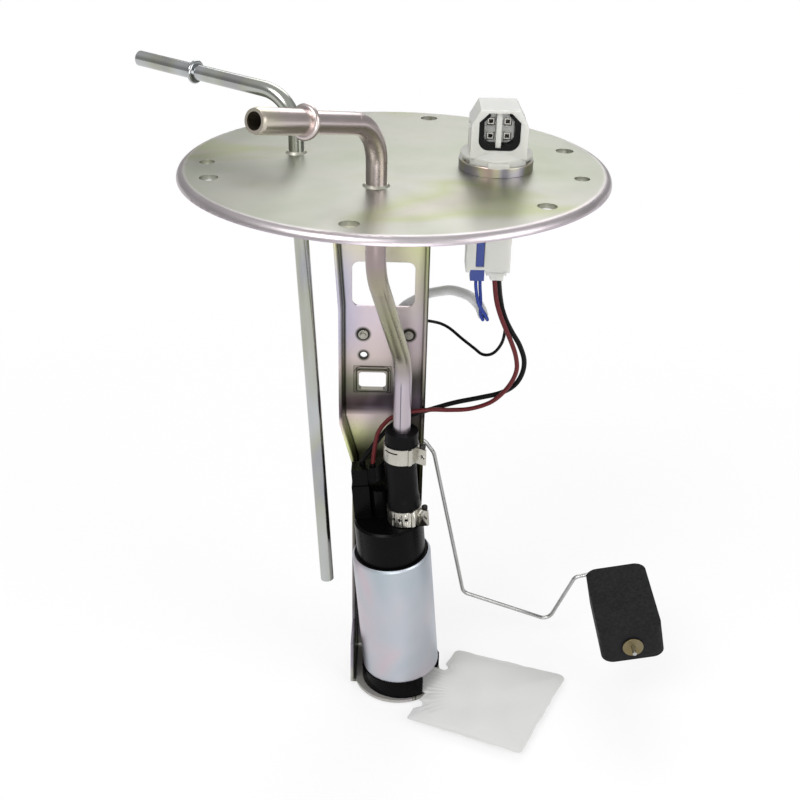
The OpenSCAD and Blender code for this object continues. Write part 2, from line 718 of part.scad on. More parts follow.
slant_slip = sheet_t * tan(atan2(hanger_low_left - hanger_left, slant_top_z - slant_low_z) / 2);
module left_strip() {
    polygon([[hanger_top_left, 0], [hanger_left, taper_z], [hanger_left, slant_top_z], [hanger_low_left, slant_low_z],
        [hanger_low_left, foot_low], [hanger_low_left + sheet_t, foot_low],
        [hanger_low_left + sheet_t, slant_low_z + slant_slip], [hanger_left + sheet_t, slant_top_z + slant_slip],
        [hanger_left + sheet_t, taper_z], [hanger_top_left + sheet_t, 0]]);
}
module hanger_face() {
    polygon([[hanger_top_left, 2], [hanger_top_left, 0], [hanger_left, taper_z], [hanger_left, slant_top_z],
        [hanger_low_left, slant_low_z], [hanger_low_left, foot_low - 1], [hanger_right, foot_low - 1],
        [hanger_right, 2]]);
}
module from_side(depth) {
    rotate([90, 0, 90]) linear_extrude(depth) children();
}
module fold_round(x, y, z0, z1, turn, lean = 0, short = 0) {
    translate([x, y, z0]) rotate([0, -lean, 0]) rotate(turn) difference() {
        translate([-fold_r - 1, -fold_r - 1, 0]) cube([fold_r + 1, fold_r + 1, z1 - z0]);
        translate([0, 0, -cut]) cylinder(r = fold_r - short, h = z1 - z0 + 2 * cut);
    }
}
rivet_left = [-13.2, -86.4];
rivet_right = [7.6, -86.4];
rivet_d = 3;
peep_hole = [-12.9, -96.9];
peep_d = 3.2;
slot_mid = [-8.8, -109.3];
lip_out = 1.7;
module hanger_bracket() {
    color("#b3b08f") difference() {
        union() {
            intersection() {
                translate([hanger_top_left, 0, 0]) from_side(hanger_right - hanger_top_left) hanger_side();
                upright(foot_y, 50) hanger_face();
            }
            intersection() {
                translate([hanger_top_left, 0, 0]) from_side(20) flange_side();
                upright(foot_y, 50) left_strip();
            }
            intersection() {
                translate([hanger_right - sheet_t, 0, 0]) from_side(sheet_t) flange_side();
                translate([0, 0, right_flange_end_z]) cube([60, 60, 300]);
            }
            translate([hanger_low_left, gusset_y, foot_low]) cube([sheet_t, low_y + sheet_t - fold_r - gusset_y, gusset_h - 1.5]);
            translate([foot_x, foot_y, foot_low]) cylinder(r = foot_r, h = sheet_t);
            translate([hanger_low_left, gusset_y, foot_low]) cube([hanger_right - hanger_low_left, low_y - gusset_y - 1, sheet_t]);
            upright(hanger_y - lip_out / 2, lip_out / 2 + 0.2) translate(slot_mid)
                round_rect(slot_w + 2 * lip_w, slot_h + 2 * lip_w, 3.4);
            upright(hanger_y - lip_out, lip_out + 0.2) translate(slot_mid)
                round_rect(slot_w + 1.2 * lip_w, slot_h + 1.2 * lip_w, 2.6);
        }
        upright(hanger_y - 3, 12) {
            translate([(hanger_left + hanger_right) / 2 - 0.2, window_z]) round_rect(window_w, window_h, 3.2);
            translate(slot_mid) round_rect(slot_w, slot_h, 1.6);
            translate(rivet_left) circle(d = rivet_d, $fn = 32);
            translate(rivet_right) circle(d = rivet_d, $fn = 32);
            translate(peep_hole) circle(d = peep_d, $fn = 32);
        }
        fold_round(hanger_left + fold_r, hanger_y + sheet_t - fold_r, step_top_z + 1, taper_z, -90);
        fold_round(hanger_left + fold_r, hanger_y + sheet_t - fold_r, taper_z - 0.4, 3, -90,
            atan2(hanger_left - hanger_top_left, -taper_z), 0.06);
        fold_round(hanger_right - fold_r, hanger_y + sheet_t - fold_r, step_top_z + 1, 5, 180);
        fold_round(hanger_low_left + fold_r, low_y + sheet_t - fold_r, foot_z + gusset_h, slant_low_z - 1, -90);
        translate([hanger_low_left - 1, gusset_y - 8, foot_low + gusset_h - 12]) rotate([35, 0, 0])
            cube([4, 9, 26]);
    }
}

// The level sender's fixed half
strap_top = rivet_left[1] + 4.9;
sender_line = [[hanger_y + sheet_t + sender_t / 2, strap_top], [hanger_y + sheet_t + sender_t / 2, -110],
    [low_y + sheet_t + 0.3 + sender_t / 2, -118.5], [low_y + sheet_t + 0.3 + sender_t / 2, -157]];
sender_back = low_y + sheet_t + 0.3 + sender_t;
housing_y = 8;
housing_left = -18;
housing_w = 30;
housing_low = -154;
housing_top = -124;
card_y = sender_back + housing_y;
tab_places = [3, 7.4];
tab_w = 2.4;
tab_t = 0.6;
tab_h = 9;
tab_z = housing_top - 2;
module sender_bracket() {
    color("#b5b7ba") difference() {
        intersection() {
            translate([housing_left, 0, 0]) rotate([90, 0, 90]) linear_extrude(40) ribbon(sender_line, [0, 0, 0, 0], sender_t);
            upright(hanger_y, 12) {
                translate([housing_left, strap_top - 11.5]) square([30.5, 11.5]);
                translate([-0.5, -123]) square([13, 30]);
                translate([housing_left, -157]) square([housing_w, 36]);
            }
        }
        upright(hanger_y, 12) {
            translate(rivet_left) circle(d = rivet_d, $fn = 32);
            translate(rivet_right) circle(d = rivet_d, $fn = 32);
        }
    }
}
module sender_rivets() {
    back = hanger_y + sheet_t + sender_t;
    grip = sheet_t + sender_t;
    color("#c9c8c0") {
        translate([rivet_left[0], back + 1, rivet_left[1]]) rotate([90, 0, 0]) union() {
            cylinder(d = rivet_d, h = grip + 2);
            cylinder(d = 4.8, h = 1);
            translate([0, 0, grip + 1]) cylinder(d1 = 5, d2 = 4.4, h = 0.7);
            translate([0, 0, grip + 1]) cylinder(d = 2.6, h = 2);
        }
        translate([rivet_right[0], back + 2, rivet_right[1]]) rotate([90, 0, 0]) union() {
            cylinder(d = rivet_d, h = grip + 2.1);
            cylinder(d = 5.4, h = 1.2);
            translate([0, 0, grip + 2]) cylinder(d1 = 4.6, d2 = 4, h = 0.7);
        }
    }
}
module terminal_tab(x) {
    translate([x - tab_w / 2, sender_back + 2, tab_z]) cube([tab_w, tab_t, tab_h]);
}
module sender_housing() {
    color("#d8d6cc") difference() {
        union() {
            translate([housing_left, sender_back, housing_low]) cube([housing_w, 3, housing_top - housing_low]);
            translate([housing_left + 1, sender_back, housing_low + 4])
                cube([housing_w - 3, housing_y, housing_top - housing_low - 5.5]);
            translate([tab_places[0] - 2.5, sender_back, housing_top - 1.5]) cube([9.4, 5, 4]);
        }
        translate([pivot_x, card_y + cut, pivot_z]) rotate([90, 0, 0])
            cylinder(r = pivot_d / 2 + pivot_gap, h = housing_y - 1.5 + cut);
        for (x = tab_places) terminal_tab(x);
    }
}
module card_terminals() {
    color("#c9a54a") for (x = tab_places) terminal_tab(x);
}
module resistor_card() {
    color("#6d6a58") translate([pivot_x, card_y + 0.6, pivot_z]) rotate([90, 0, 0]) linear_extrude(0.6) intersection() {
        ring_shape(13, 8.6);
        polygon([[0, 0], [-20, -13.8], [20, -13.8], [20, -4], [12, 0]]);
    }
}
module earth_lug() {
    back = hanger_y + sheet_t + sender_t;
    turn = 55;
    barrel = 8;
    color("#c8b98a") {
        difference() {
            translate([rivet_right[0], back + 0.8, rivet_right[1]]) rotate([90, 0, 0]) union() {
                cylinder(d = 7, h = 0.8);
                rotate(turn) translate([2, -1.4, 0]) cube([7, 2.8, 0.8]);
            }
            translate([rivet_right[0], back + 2, rivet_right[1]]) rotate([90, 0, 0]) cylinder(d = rivet_d, h = 4);
        }
        translate([rivet_right[0] + barrel * cos(turn), back + 1.4, rivet_right[1] + barrel * sin(turn)])
            along([1, 0, -0.15]) cylinder(d = 2.4, h = 3.4);
    }
}

// The level sender's moving half: hub, wiper, arm, float and nut
module arm_hub() {
    color("#3d3f3c") difference() {
        union() {
            translate([pivot_x, arm_y + wire_d, pivot_z]) rotate([90, 0, 0]) cylinder(d = 16, h = arm_y + wire_d - card_y - 0.3);
            translate([pivot_x, card_y + 1, pivot_z]) rotate([90, 0, 0]) cylinder(d = pivot_d, h = housing_y - 1);
        }
        bent_bar(arm_path, arm_radii, wire_d);
        translate([pivot_x, 0, pivot_z]) upright(card_y - 1, 2.2) rotate(-37) translate([4, -1]) square([8, 2]);
    }
}
module wiper() {
    color("#c8a24c") translate([pivot_x, 0, pivot_z]) rotate([0, 37, 0]) {
        translate([4, card_y + 0.65, -1]) cube([7.4, 0.4, 2]);
        translate([4, card_y + 0.65, -1]) cube([2.5, 0.54, 2]);
    }
}
module float_arm() {
    color("#c2c4c6") bent_bar(arm_path, arm_radii, wire_d);
}
module push_nut() {
    color("#c2a04e") translate([float_x, float_front - 0.5, float_z]) rotate([90, 0, 0]) tube(10, wire_d, 0.8);
}
float_bore_gap = 0.1;
module float_block() {
    color("#2a2a2b") difference() {
        translate([float_x, float_front, float_z]) rotate([0, -float_tilt, 0]) {
            translate([-float_w / 2 + 6, 0, -float_t / 2]) cube([float_w - 12, float_l, float_t]);
            translate([-float_w / 2, 6, -float_t / 2]) cube([float_w, float_l - 12, float_t]);
            for (sx = [-1, 1], y = [6, float_l - 6]) translate([sx * (float_w / 2 - 6), y, -float_t / 2])
                cylinder(r = 6, h = float_t);
        }
        translate([float_x, arm_y, float_z]) rotate([90, 0, 0])
            cylinder(r = wire_d / 2 + float_bore_gap, h = float_l + 10, $fn = 32);
    }
}

// The hose from the pump to the supply tube, and its two clamps
hose_path = [[hose_bend[0], hose_bend[1], hose_top_z], hose_bend, pump_point([outlet_x, outlet_y, cap_h + 0.3])];
module hose_end() {
    len = clamp_w + 4.5;
    cylinder(d = hose_end_d, h = len);
    translate([0, 0, len - eps]) cylinder(d1 = hose_end_d, d2 = hose_d - 0.1, h = 3);
}
module outlet_hose() {
    low = hose_path[2];
    color("#1d1d1f") difference() {
        union() {
            bent_bar(hose_path, [0, 30, 0], hose_d);
            translate([hose_bend[0], hose_bend[1], hose_top_z]) mirror([0, 0, 1]) hose_end();
            translate(low) rotate([0, -pump_lean, 0]) hose_end();
        }
        bent_bar(hose_path, [0, 30, 0], supply_d, cut);
    }
}
module clamp_band(holes) {
    r = hose_end_r;
    difference() {
        union() {
            tube(hose_end_d + 2 * clamp_t, hose_end_d, clamp_w);
            rotate(-30) translate([r - 0.1, -0.9, 0]) cube([5.6, clamp_t + 0.4, clamp_w]);
            rotate(-30) translate([r - 0.1, 0.9, 0.6]) cube([4.4, clamp_t, clamp_w - 1.2]);
            rotate(-62) translate([r + clamp_t - 0.2, -0.8, 0]) cube([0.9, 1.6, clamp_w]);
        }
        translate([0, 0, -cut]) cylinder(d = hose_end_d, h = clamp_w + 2 * cut);
        rotate(-30) translate([r + 1, -0.5, -cut]) cube([1.2, 1.4, clamp_w + 2 * cut]);
        if (holes) for (a = [-128, -106, -84]) rotate(a) translate([r - 1, 0, clamp_w / 2])
            rotate([0, 90, 0]) cylinder(d = 1.7, h = 4, $fn = 24);
        else rotate(-152) translate([0, 0, clamp_w / 2 + 1.6]) rotate_extrude(angle = 50)
            translate([r - 1, 0]) square([3, 0.7]);
        rotate(-30) translate([r + 4, -2, clamp_w / 2]) rotate([-90, 0, 0]) cylinder(d = 2.4, h = 6, $fn = 24);
    }
}
module clamp_pin() {
    rotate(-30) translate([hose_end_r + 3.4, 0.4, 0]) {
        translate([0, 0, clamp_w]) cylinder(d = 2.8, h = 1.8, $fn = 32);
    }
}
module at_upper_clamp() {
    translate([hose_bend[0], hose_bend[1], upper_clamp_z - clamp_w / 2]) children();
}
module at_lower_clamp() {
    in_pump() translate([outlet_x, outlet_y, lower_clamp_h - clamp_w / 2]) children();
}
module upper_clamp() {
    color("#b9b7b0") at_upper_clamp() clamp_band(false);
}
module lower_clamp() {
    color("#b9b7b0") at_lower_clamp() clamp_band(true);
}
module clamp_pins() {
    color("#1a1a1a") {
        at_upper_clamp() clamp_pin();
        at_lower_clamp() clamp_pin();
    }
}

// The pump's outer pieces, in the frame of its own axis
crimp_in = 1.6;
valve_seat = can_h + 4;
valve_room = 11;
floor_t = 5;
cover_t = 4;
plate_z = 1.2 + cover_t;
rotor_z = plate_z + impeller_t + 0.3 + floor_t;
magnet_z = rotor_z + 2;
cap_skirt = 9;
pocket = [-16.2, 0];
pocket_w = 8.2;
pocket_l = 9.6;
pocket_h = 17.2;
pump_plug_h = 8.4;
wire_entries = [[-10.6, 7], [-5.6, 4.8]];
module pump_can() {
    color("#a9afbb") in_pump() difference() {
        union() {
            cylinder(d = can_d, h = can_h - 1.5);
            translate([0, 0, can_h - 1.5]) cylinder(d1 = can_d, d2 = can_d - 1.6, h = 1.5);
        }
        translate([0, 0, 1.2]) cylinder(r = bore_r, h = can_h);
        translate([0, 0, -cut]) cylinder(r = bore_r - crimp_in, h = 3);
    }
}
module pump_cap() {
    color("#1b1b1d") in_pump() difference() {
        union() {
            translate([0, 0, can_h - cap_skirt]) cylinder(r = bore_r - 0.05, h = cap_skirt - 2);
            translate([0, 0, can_h - 3]) cylinder(r = cap_r, h = cap_h - can_h + 3 - 1);
            translate([0, 0, cap_h - 1]) cylinder(r1 = cap_r, r2 = cap_r - 1, h = 1);
            translate([outlet_x, outlet_y, cap_h - 1]) cylinder(d = supply_d, h = 21.5);
            intersection() {
                translate([0, 0, cap_h - 1]) cylinder(r = cap_r + 0.7, h = pocket_h + 1);
                translate([pocket[0], pocket[1], 0]) cube([pocket_w, pocket_l, 2 * cap_h]);
            }
            translate([-3.2, 4.5, cap_h - 1]) cylinder(d = 9.5, h = 15);
        }
        translate([outlet_x, outlet_y, can_h - 10]) cylinder(d = 4.6, h = 60);
        translate([outlet_x, outlet_y, valve_seat]) cylinder(d = 6.6, h = valve_room);
        translate([0, 0, can_h - 3]) cylinder(d = 8, h = 9);
        translate([0, 0, can_h - 10]) cylinder(d = 5, h = 9);
        for (y = brush_places) translate([-2.5, y - 2.5, can_h - cap_skirt - cut]) cube([5, 5, 8]);
        translate([pocket[0] + 1.1, pocket[1] + 1.1, cap_h + 3]) cube([pocket_w - 2.2, pocket_l - 3.6, 40]);
    }
}
brush_places = [-6.6, 6.6];
module cap_seal() {
    color("#101010") in_pump() translate([0, 0, can_h - 1.9]) tube(2 * bore_r - 0.4, cap_d, 1.4);
}
module pump_plug() {
    foot = cap_h + pocket_h + 0.1;
    color("#232325") in_pump() {
        translate([pocket[0] + 1.15, pocket[1] + 1.15, cap_h + 3.1])
            cube([pocket_w - 2.3, pocket_l - 3.7, pocket_h - 2]);
        translate([pocket[0] + 0.5, pocket[1] + 0.6, foot]) cube([pocket_w - 0.8, 8.6, pump_plug_h]);
        translate([0, 0, foot]) linear_extrude(pump_plug_h)
            polygon([[-8.8, 2.2], [-4.6, 2.2], [-0.6, 8], [-0.6, 11], [-8.8, 11]]);
        translate([-4.9, 2, foot + 3]) rotate(55.4) cube([7.4, 1, 2]);
        for (p = wire_entries) translate([p[0], p[1], foot + pump_plug_h - cut]) cylinder(d = 3, h = cut + 1.3);
    }
}
module brushes() {
    color("#3b3b3b") in_pump() for (y = brush_places) translate([-2.45, y - 2.45, commutator_top + 0.05])
        cube([4.9, 4.9, can_h - cap_skirt + 7 - commutator_top]);
}
module field_magnets() {
    color("#2b2b30") in_pump() translate([0, 0, magnet_z]) difference() {
        tube(2 * bore_r - 0.1, armature_d + 1.2, armature_h + 3);
        for (a = [0, 90]) rotate(a) translate([-30, -1.5, -cut]) cube([60, 3, armature_h + 6]);
    }
}
commutator_top = magnet_z + armature_h + 3.5;
module lower_bearing() {
    color("#9c8f78") in_pump() translate([0, 0, plate_z + impeller_t + 0.3])
        tube(8, shaft_d + 2 * shaft_gap, floor_t + 1);
}
module upper_bearing() {
    color("#9c8f78") in_pump() translate([0, 0, can_h - 3]) tube(8, shaft_d + 2 * shaft_gap, 8.9);
}
module outlet_plate() {
    color("#5c5a55") in_pump() difference() {
        translate([0, 0, plate_z]) cylinder(r = bore_r - 0.05, h = impeller_t + 0.3 + floor_t);
        translate([0, 0, plate_z - cut]) cylinder(d = impeller_d + 0.2, h = impeller_t + 0.3 + cut);
        translate([0, 0, plate_z]) cylinder(d = 8, h = 20);
        rotate(160) translate([impeller_d / 2 - 2.4, 0, plate_z]) cylinder(d = 3.4, h = 20, $fn = 32);
    }
}
module inlet_cover() {
    color("#6a6862") in_pump() difference() {
        union() {
            translate([0, 0, 1.2]) cylinder(r = bore_r - 0.05, h = cover_t);
            translate([inlet_x, inlet_y, -4.4]) cylinder(d = inlet_d, h = 6);
        }
        translate([0, 0, 1.2 + cover_t - 1]) cylinder(d = shaft_d + 1, h = 3);
        translate([inlet_x, inlet_y, -6]) cylinder(d = 6, h = 20);
    }
}
module rotor_shaft() {
    color("#c0c2c6") in_pump() translate([0, 0, 1.2 + cover_t - 0.8]) cylinder(d = shaft_d, h = can_h + 2 - cover_t);
}
module armature() {
    color("#a05c34") in_pump() translate([0, 0, magnet_z + 1.5]) difference() {
        cylinder(d = armature_d, h = armature_h);
        translate([0, 0, -cut]) cylinder(d = shaft_d, h = armature_h + 2 * cut);
        for (k = [0 : 7]) rotate(45 * k) translate([armature_d / 2 - 5, -0.8, -cut]) cube([9, 1.6, armature_h + 2 * cut]);
    }
}
module commutator() {
    color("#b87a3e") in_pump() translate([0, 0, magnet_z + armature_h + 1.5]) difference() {
        cylinder(d = 19.4, h = 2);
        translate([0, 0, -cut]) cylinder(d = shaft_d, h = 4);
        for (k = [0 : 7]) rotate(45 * k + 22.5) translate([2.5, -0.25, 1]) cube([10, 0.5, 2]);
    }
}
module impeller() {
    color("#7d7a70") in_pump() translate([0, 0, plate_z + 0.1]) difference() {
        cylinder(d = impeller_d, h = impeller_t);
        translate([0, 0, -cut]) cylinder(d = shaft_d, h = 6);
        for (k = [0 : 23]) rotate(15 * k) translate([impeller_d / 2 - 2.6, -0.8, -cut]) cube([2, 1.6, impeller_t + 2 * cut]);
    }
}
module check_valve() {
    color("#8f8f94") in_pump() translate([outlet_x, outlet_y, valve_seat]) {
        translate([0, 0, -3]) cylinder(d = 3, h = 3.5);
        cylinder(d = 6, h = 1.6);
        translate([0, 0, 1.5]) cylinder(d = 2.4, h = 1.6);
    }
}
spring_turns = 5;
module check_spring() {
    rise = valve_room - 1.6 - 0.7;
    color("#b9bbc0") in_pump() translate([outlet_x, outlet_y, valve_seat + 1.6 + 0.35])
        cord([for (k = [0 : 12 * spring_turns]) [2 * cos(30 * k), 2 * sin(30 * k), rise * k / (12 * spring_turns)]], 0.5, 1, 6);
}

// Below the pump: the rubber cushion and the strainer
module sock_frame() {
    translate([pump_x, pump_y, 0]) rotate(sock_turn) children();
}
module rubber_cushion() {
    color("#17171a") difference() {
        union() {
            difference() {
                translate([pump_x, pump_y, foot_z]) cylinder(d = cushion_d, h = pump_z - foot_z + 4);
                in_pump() cylinder(d = can_d + 10, h = 20);
            }
            translate([24.6, 19.2, foot_z]) cube([2.8, 3.4, 7]);
        }
        translate([pump_x, pump_y, foot_z - cut]) cylinder(d = cushion_hole_d, h = 30);
        sock_frame() translate([0, neck_low - neck_play, foot_z - cut]) cube([30, neck_w + 2 * neck_play, 30]);
    }
}
sock_x0 = 18;
sock_corners = [
    [sock_x0, -sock_w / 2, 1.2],
    [sock_x0 + sock_l, sock_skew - (sock_w + sock_flare) / 2, 5],
    [sock_x0 + sock_l, sock_skew + (sock_w + sock_flare) / 2, 5],
    [sock_x0, sock_w / 2, 3]
];
module sock_body() {
    middle = [sock_x0 + sock_l / 2, sock_skew / 2];
    hull() for (c = sock_corners) translate([c[0] + sign(middle[0] - c[0]) * c[2], c[1] + sign(middle[1] - c[1]) * c[2]])
        circle(c[2], $fn = 24);
}
module strainer_sock() {
    neck_high = neck_low + neck_w;
    color("#d9d6cf") sock_frame() translate([0, 0, sock_z]) difference() {
        linear_extrude(sock_t) difference() {
            union() {
                sock_body();
                translate([0, neck_low]) square([sock_x0 + 2, neck_w]);
                translate([0, neck_shift]) circle(d = 17);
            }
            for (y = [neck_high + 2.2, neck_low - 10]) translate([sock_x0, y]) circle(2.2, $fn = 32);
        }
        translate([0, neck_shift, 0.8]) cylinder(d = collar_d - 3, h = 6);
    }
}
module strainer_collar() {
    color("#2f2f33") difference() {
        union() {
            sock_frame() translate([0, neck_shift, sock_top]) cylinder(d = collar_d, h = 1.2);
            sock_frame() translate([0, neck_shift, sock_top - 1.6]) cylinder(d = collar_d - 3, h = 3);
            in_pump() translate([inlet_x, inlet_y, -5.6]) cylinder(d = inlet_d + 2.4, h = 5.2);
        }
        in_pump() translate([inlet_x, inlet_y, -4.4]) cylinder(d = inlet_d, h = 8);
        in_pump() translate([inlet_x, inlet_y, -20]) cylinder(d = 6, h = 30);
        translate([-30, -30, foot_z - 10]) cube([80, 80, 10 + face_gap + sock_t - 1.6]);
    }
}

// Wires
module black_wire() {
    color("#17171a") cord(black_route, black_wire_d);
}
module red_wire() {
    color("#7a1420") cord(red_route, red_wire_d);
}
module earth_wire() {
    color("#1c1c20") cord(earth_route, thin_wire_d);
}
function blue_route(s) = concat(
    [for (i = [0 : len(blue_path) - 1]) blue_path[i] + s * blue_apart * across(blue_side, tangent(blue_path, i))],
    [[5.2 + s * 2, 40.1, -115], [5.2 + s * 2.2, 39.9, -117]]);
module sender_wire_a() {
    color("#27408f") cord(blue_route(1), blue_wire_d, 1, 6);
}
module sender_wire_b() {
    color("#27408f") cord(blue_route(-1), blue_wire_d, 1, 6);
}
module wire_sleeve() {
    q = sleeve_route;
    n = side_vectors(q);
    sides = 12;
    rings = [for (r = [sleeve_d / 2, sleeve_d / 2 - 0.5], i = [0 : len(q) - 1], k = [0 : sides - 1])
        q[i] + r * (n[i] * cos(360 * k / sides) + cross(tangent(q, i), n[i]) * sin(360 * k / sides))];
    m = len(q) * sides;
    last = (len(q) - 1) * sides;
    color("#8f9296") polyhedron(points = rings, faces = concat(
        [for (i = [0 : len(q) - 2], k = [0 : sides - 1]) let (j = (k + 1) % sides)
            [i * sides + k, (i + 1) * sides + k, i * sides + j]],
        [for (i = [0 : len(q) - 2], k = [0 : sides - 1]) let (j = (k + 1) % sides)
            [(i + 1) * sides + k, (i + 1) * sides + j, i * sides + j]],
        [for (i = [0 : len(q) - 2], k = [0 : sides - 1]) let (j = (k + 1) % sides)
            [m + i * sides + j, m + (i + 1) * sides + k, m + i * sides + k]],
        [for (i = [0 : len(q) - 2], k = [0 : sides - 1]) let (j = (k + 1) % sides)
            [m + i * sides + j, m + (i + 1) * sides + j, m + (i + 1) * sides + k]],
        [for (k = [0 : sides - 1]) let (j = (k + 1) % sides) [k, j, m + k]],
        [for (k = [0 : sides - 1]) let (j = (k + 1) % sides) [j, m + j, m + k]],
        [for (k = [0 : sides - 1]) let (j = (k + 1) % sides) [last + j, last + k, m + last + k]],
        [for (k = [0 : sides - 1]) let (j = (k + 1) % sides) [m + last + j, last + j, m + last + k]]
    ));
}

flange_plate();
supply_tube();
return_tube();
braze_rings();
connector_ring();
ring_gasket();
connector_housing();
socket_seal();
terminal_blades();
inner_plug();
plug_retainer();
hanger_bracket();
sender_bracket();
sender_rivets();
sender_housing();
resistor_card();
card_terminals();
earth_lug();
arm_hub();
wiper();
float_arm();
push_nut();
float_block();
outlet_hose();
upper_clamp();
lower_clamp();
clamp_pins();
pump_can();
pump_cap();
cap_seal();
pump_plug();
brushes();
upper_bearing();
lower_bearing();
field_magnets();
outlet_plate();
inlet_cover();
check_spring();
check_valve();
rotor_shaft();
armature();
commutator();
impeller();
rubber_cushion();
strainer_collar();
strainer_sock();
black_wire();
red_wire();
earth_wire();
sender_wire_a();
sender_wire_b();
wire_sleeve();
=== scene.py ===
"""Looks of a tank-top fuel pump module, built as an add-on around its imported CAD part."""

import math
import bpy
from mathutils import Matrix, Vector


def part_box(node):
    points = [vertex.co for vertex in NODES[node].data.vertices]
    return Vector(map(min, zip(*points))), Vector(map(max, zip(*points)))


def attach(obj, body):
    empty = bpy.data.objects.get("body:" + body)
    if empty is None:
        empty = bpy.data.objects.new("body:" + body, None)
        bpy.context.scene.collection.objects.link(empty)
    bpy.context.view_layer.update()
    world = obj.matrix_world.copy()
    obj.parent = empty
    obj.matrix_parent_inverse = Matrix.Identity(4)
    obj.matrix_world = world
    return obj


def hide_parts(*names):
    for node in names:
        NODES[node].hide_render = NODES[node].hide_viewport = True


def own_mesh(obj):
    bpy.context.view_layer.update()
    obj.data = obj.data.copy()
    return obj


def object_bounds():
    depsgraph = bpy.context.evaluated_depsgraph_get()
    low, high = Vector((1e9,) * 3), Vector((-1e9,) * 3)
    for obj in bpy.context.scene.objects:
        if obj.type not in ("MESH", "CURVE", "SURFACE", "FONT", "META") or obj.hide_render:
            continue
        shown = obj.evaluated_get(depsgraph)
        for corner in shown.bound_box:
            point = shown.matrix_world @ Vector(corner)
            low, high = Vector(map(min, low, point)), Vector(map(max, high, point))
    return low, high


bl_info = {
    "name": "Fuel pump module looks",
    "version": (1, 0, 0),
    "blender": (4, 5, 0),
    "location": "3D View > Sidebar > Fuel pump module",
    "description": "Finishes, wires, strainer sock and stage of a tank-top fuel pump module",
    "category": "Object",
}

import bmesh
import bpy
from bpy.props import FloatProperty, FloatVectorProperty, IntProperty, PointerProperty
from bpy.types import Operator, Panel, PropertyGroup
from mathutils import Matrix, Vector

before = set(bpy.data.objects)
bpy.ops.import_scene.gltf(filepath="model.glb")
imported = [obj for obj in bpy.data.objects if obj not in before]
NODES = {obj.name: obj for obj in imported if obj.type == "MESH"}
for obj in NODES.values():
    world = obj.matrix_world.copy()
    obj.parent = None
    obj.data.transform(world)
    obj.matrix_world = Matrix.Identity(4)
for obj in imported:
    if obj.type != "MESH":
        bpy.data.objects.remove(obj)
CAD_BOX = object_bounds()
MM = 0.001


def mm(*point):
    """A point given in millimetres, in metres."""
    return Vector(point) * MM


def linear(colour):
    """Blender's linear RGBA of a colour that is written as #rrggbb or is linear RGB already."""
    if not isinstance(colour, str):
        return [*colour, 1.0]
    values = [int(colour[i:i + 2], 16) / 255 for i in (1, 3, 5)]
    return [v / 12.92 if v <= 0.04045 else ((v + 0.055) / 1.055) ** 2.4 for v in values] + [1.0]


# Sizes and colours that can be changed in the sidebar


def colour_choice(name, description, colour):
    """A colour in the sidebar, with its default."""
    return FloatVectorProperty(
        name=name, description=description, size=3, subtype="COLOR", min=0.0, max=1.0,
        default=linear(colour)[:3])


class ModuleSizes(PropertyGroup):
    """Sizes of the looks, and how the stage is seen and lit."""

    camera_place: FloatVectorProperty(
        name="Camera place", description="Where the photograph was taken from", size=3,
        subtype="XYZ", unit="LENGTH", default=(0.0042, -0.4436, 0.1324))
    camera_pitch: FloatProperty(
        name="Camera pitch", description="How far the camera looks down", subtype="ANGLE",
        default=math.radians(27.986))
    camera_roll: FloatProperty(
        name="Camera roll", description="How far the camera leans", subtype="ANGLE",
        default=math.radians(1.3))
    camera_lens: FloatProperty(
        name="Lens", description="Focal length on a 36 mm sensor", default=51.75, unit="CAMERA")
    lamp_share: FloatProperty(
        name="Lamps", description="Strength of all lamps", default=1.0, min=0.0, soft_max=2.0,
        subtype="FACTOR")
    world_light: FloatProperty(
        name="World light", description="Strength of the light from all round", default=0.62,
        min=0.0, soft_max=2.0, subtype="FACTOR")
    floor_gap: FloatProperty(
        name="Floor gap", description="How far the floor lies under the part", default=0.0015,
        unit="LENGTH")
    wire_steps: IntProperty(
        name="Wire steps", description="Points between two points of a wire's route", default=6,
        min=1)
    sock_bulge: FloatProperty(
        name="Sock bulge", description="How much the sock crowns in its middle",
        default=0.0013, unit="LENGTH")


class ModuleColours(PropertyGroup):
    """Colours of the looks."""

    floor: colour_choice("Floor", "Colour of the stage", (0.9, 0.9, 0.9))
    pump_can: colour_choice("Pump can", "Colour of the can's zinc under its film", "#bdbec2")
    nylon: colour_choice("Nylon", "Colour of the wiring socket and its plug", "#c6c6c2")
    retainer: colour_choice("Retainer", "Colour of the plug's retainer", "#293c82")
    foam: colour_choice("Float", "Colour of the float's foam", "#111113")
    filter_cloth: colour_choice("Filter cloth", "Colour of the strainer sock", "#cfcfce")
    black_wire: colour_choice("Black wires", "Colour of the black and earth wires", "#050506")
    red_wire: colour_choice("Red wire", "Colour of the pump's feed wire", "#581418")
    blue_wire: colour_choice("Blue wires", "Colour of the level sender's wires", "#24398a")
    sleeve: colour_choice("Sleeve", "Colour of the sleeve over the blue wires", "#f4f5f6")


# Finishes: materials whose colour, roughness and bump come from nodes on Object coordinates.
# The constants are places on the pieces in millimetres, and stops of colour ramps.

SOFT_EDGE = 0.3  # radius of an edge that is rounded only in its shading
RIM_UNDERSIDE = (-0.8, 0.4)  # heights between which the lilac underside of the flange ends
# Painted highlight: the flange's rim is painted bright between these radii.
RIM_ROUND = (81.2, 83.2)  # radii between which the flange's rim turns bright

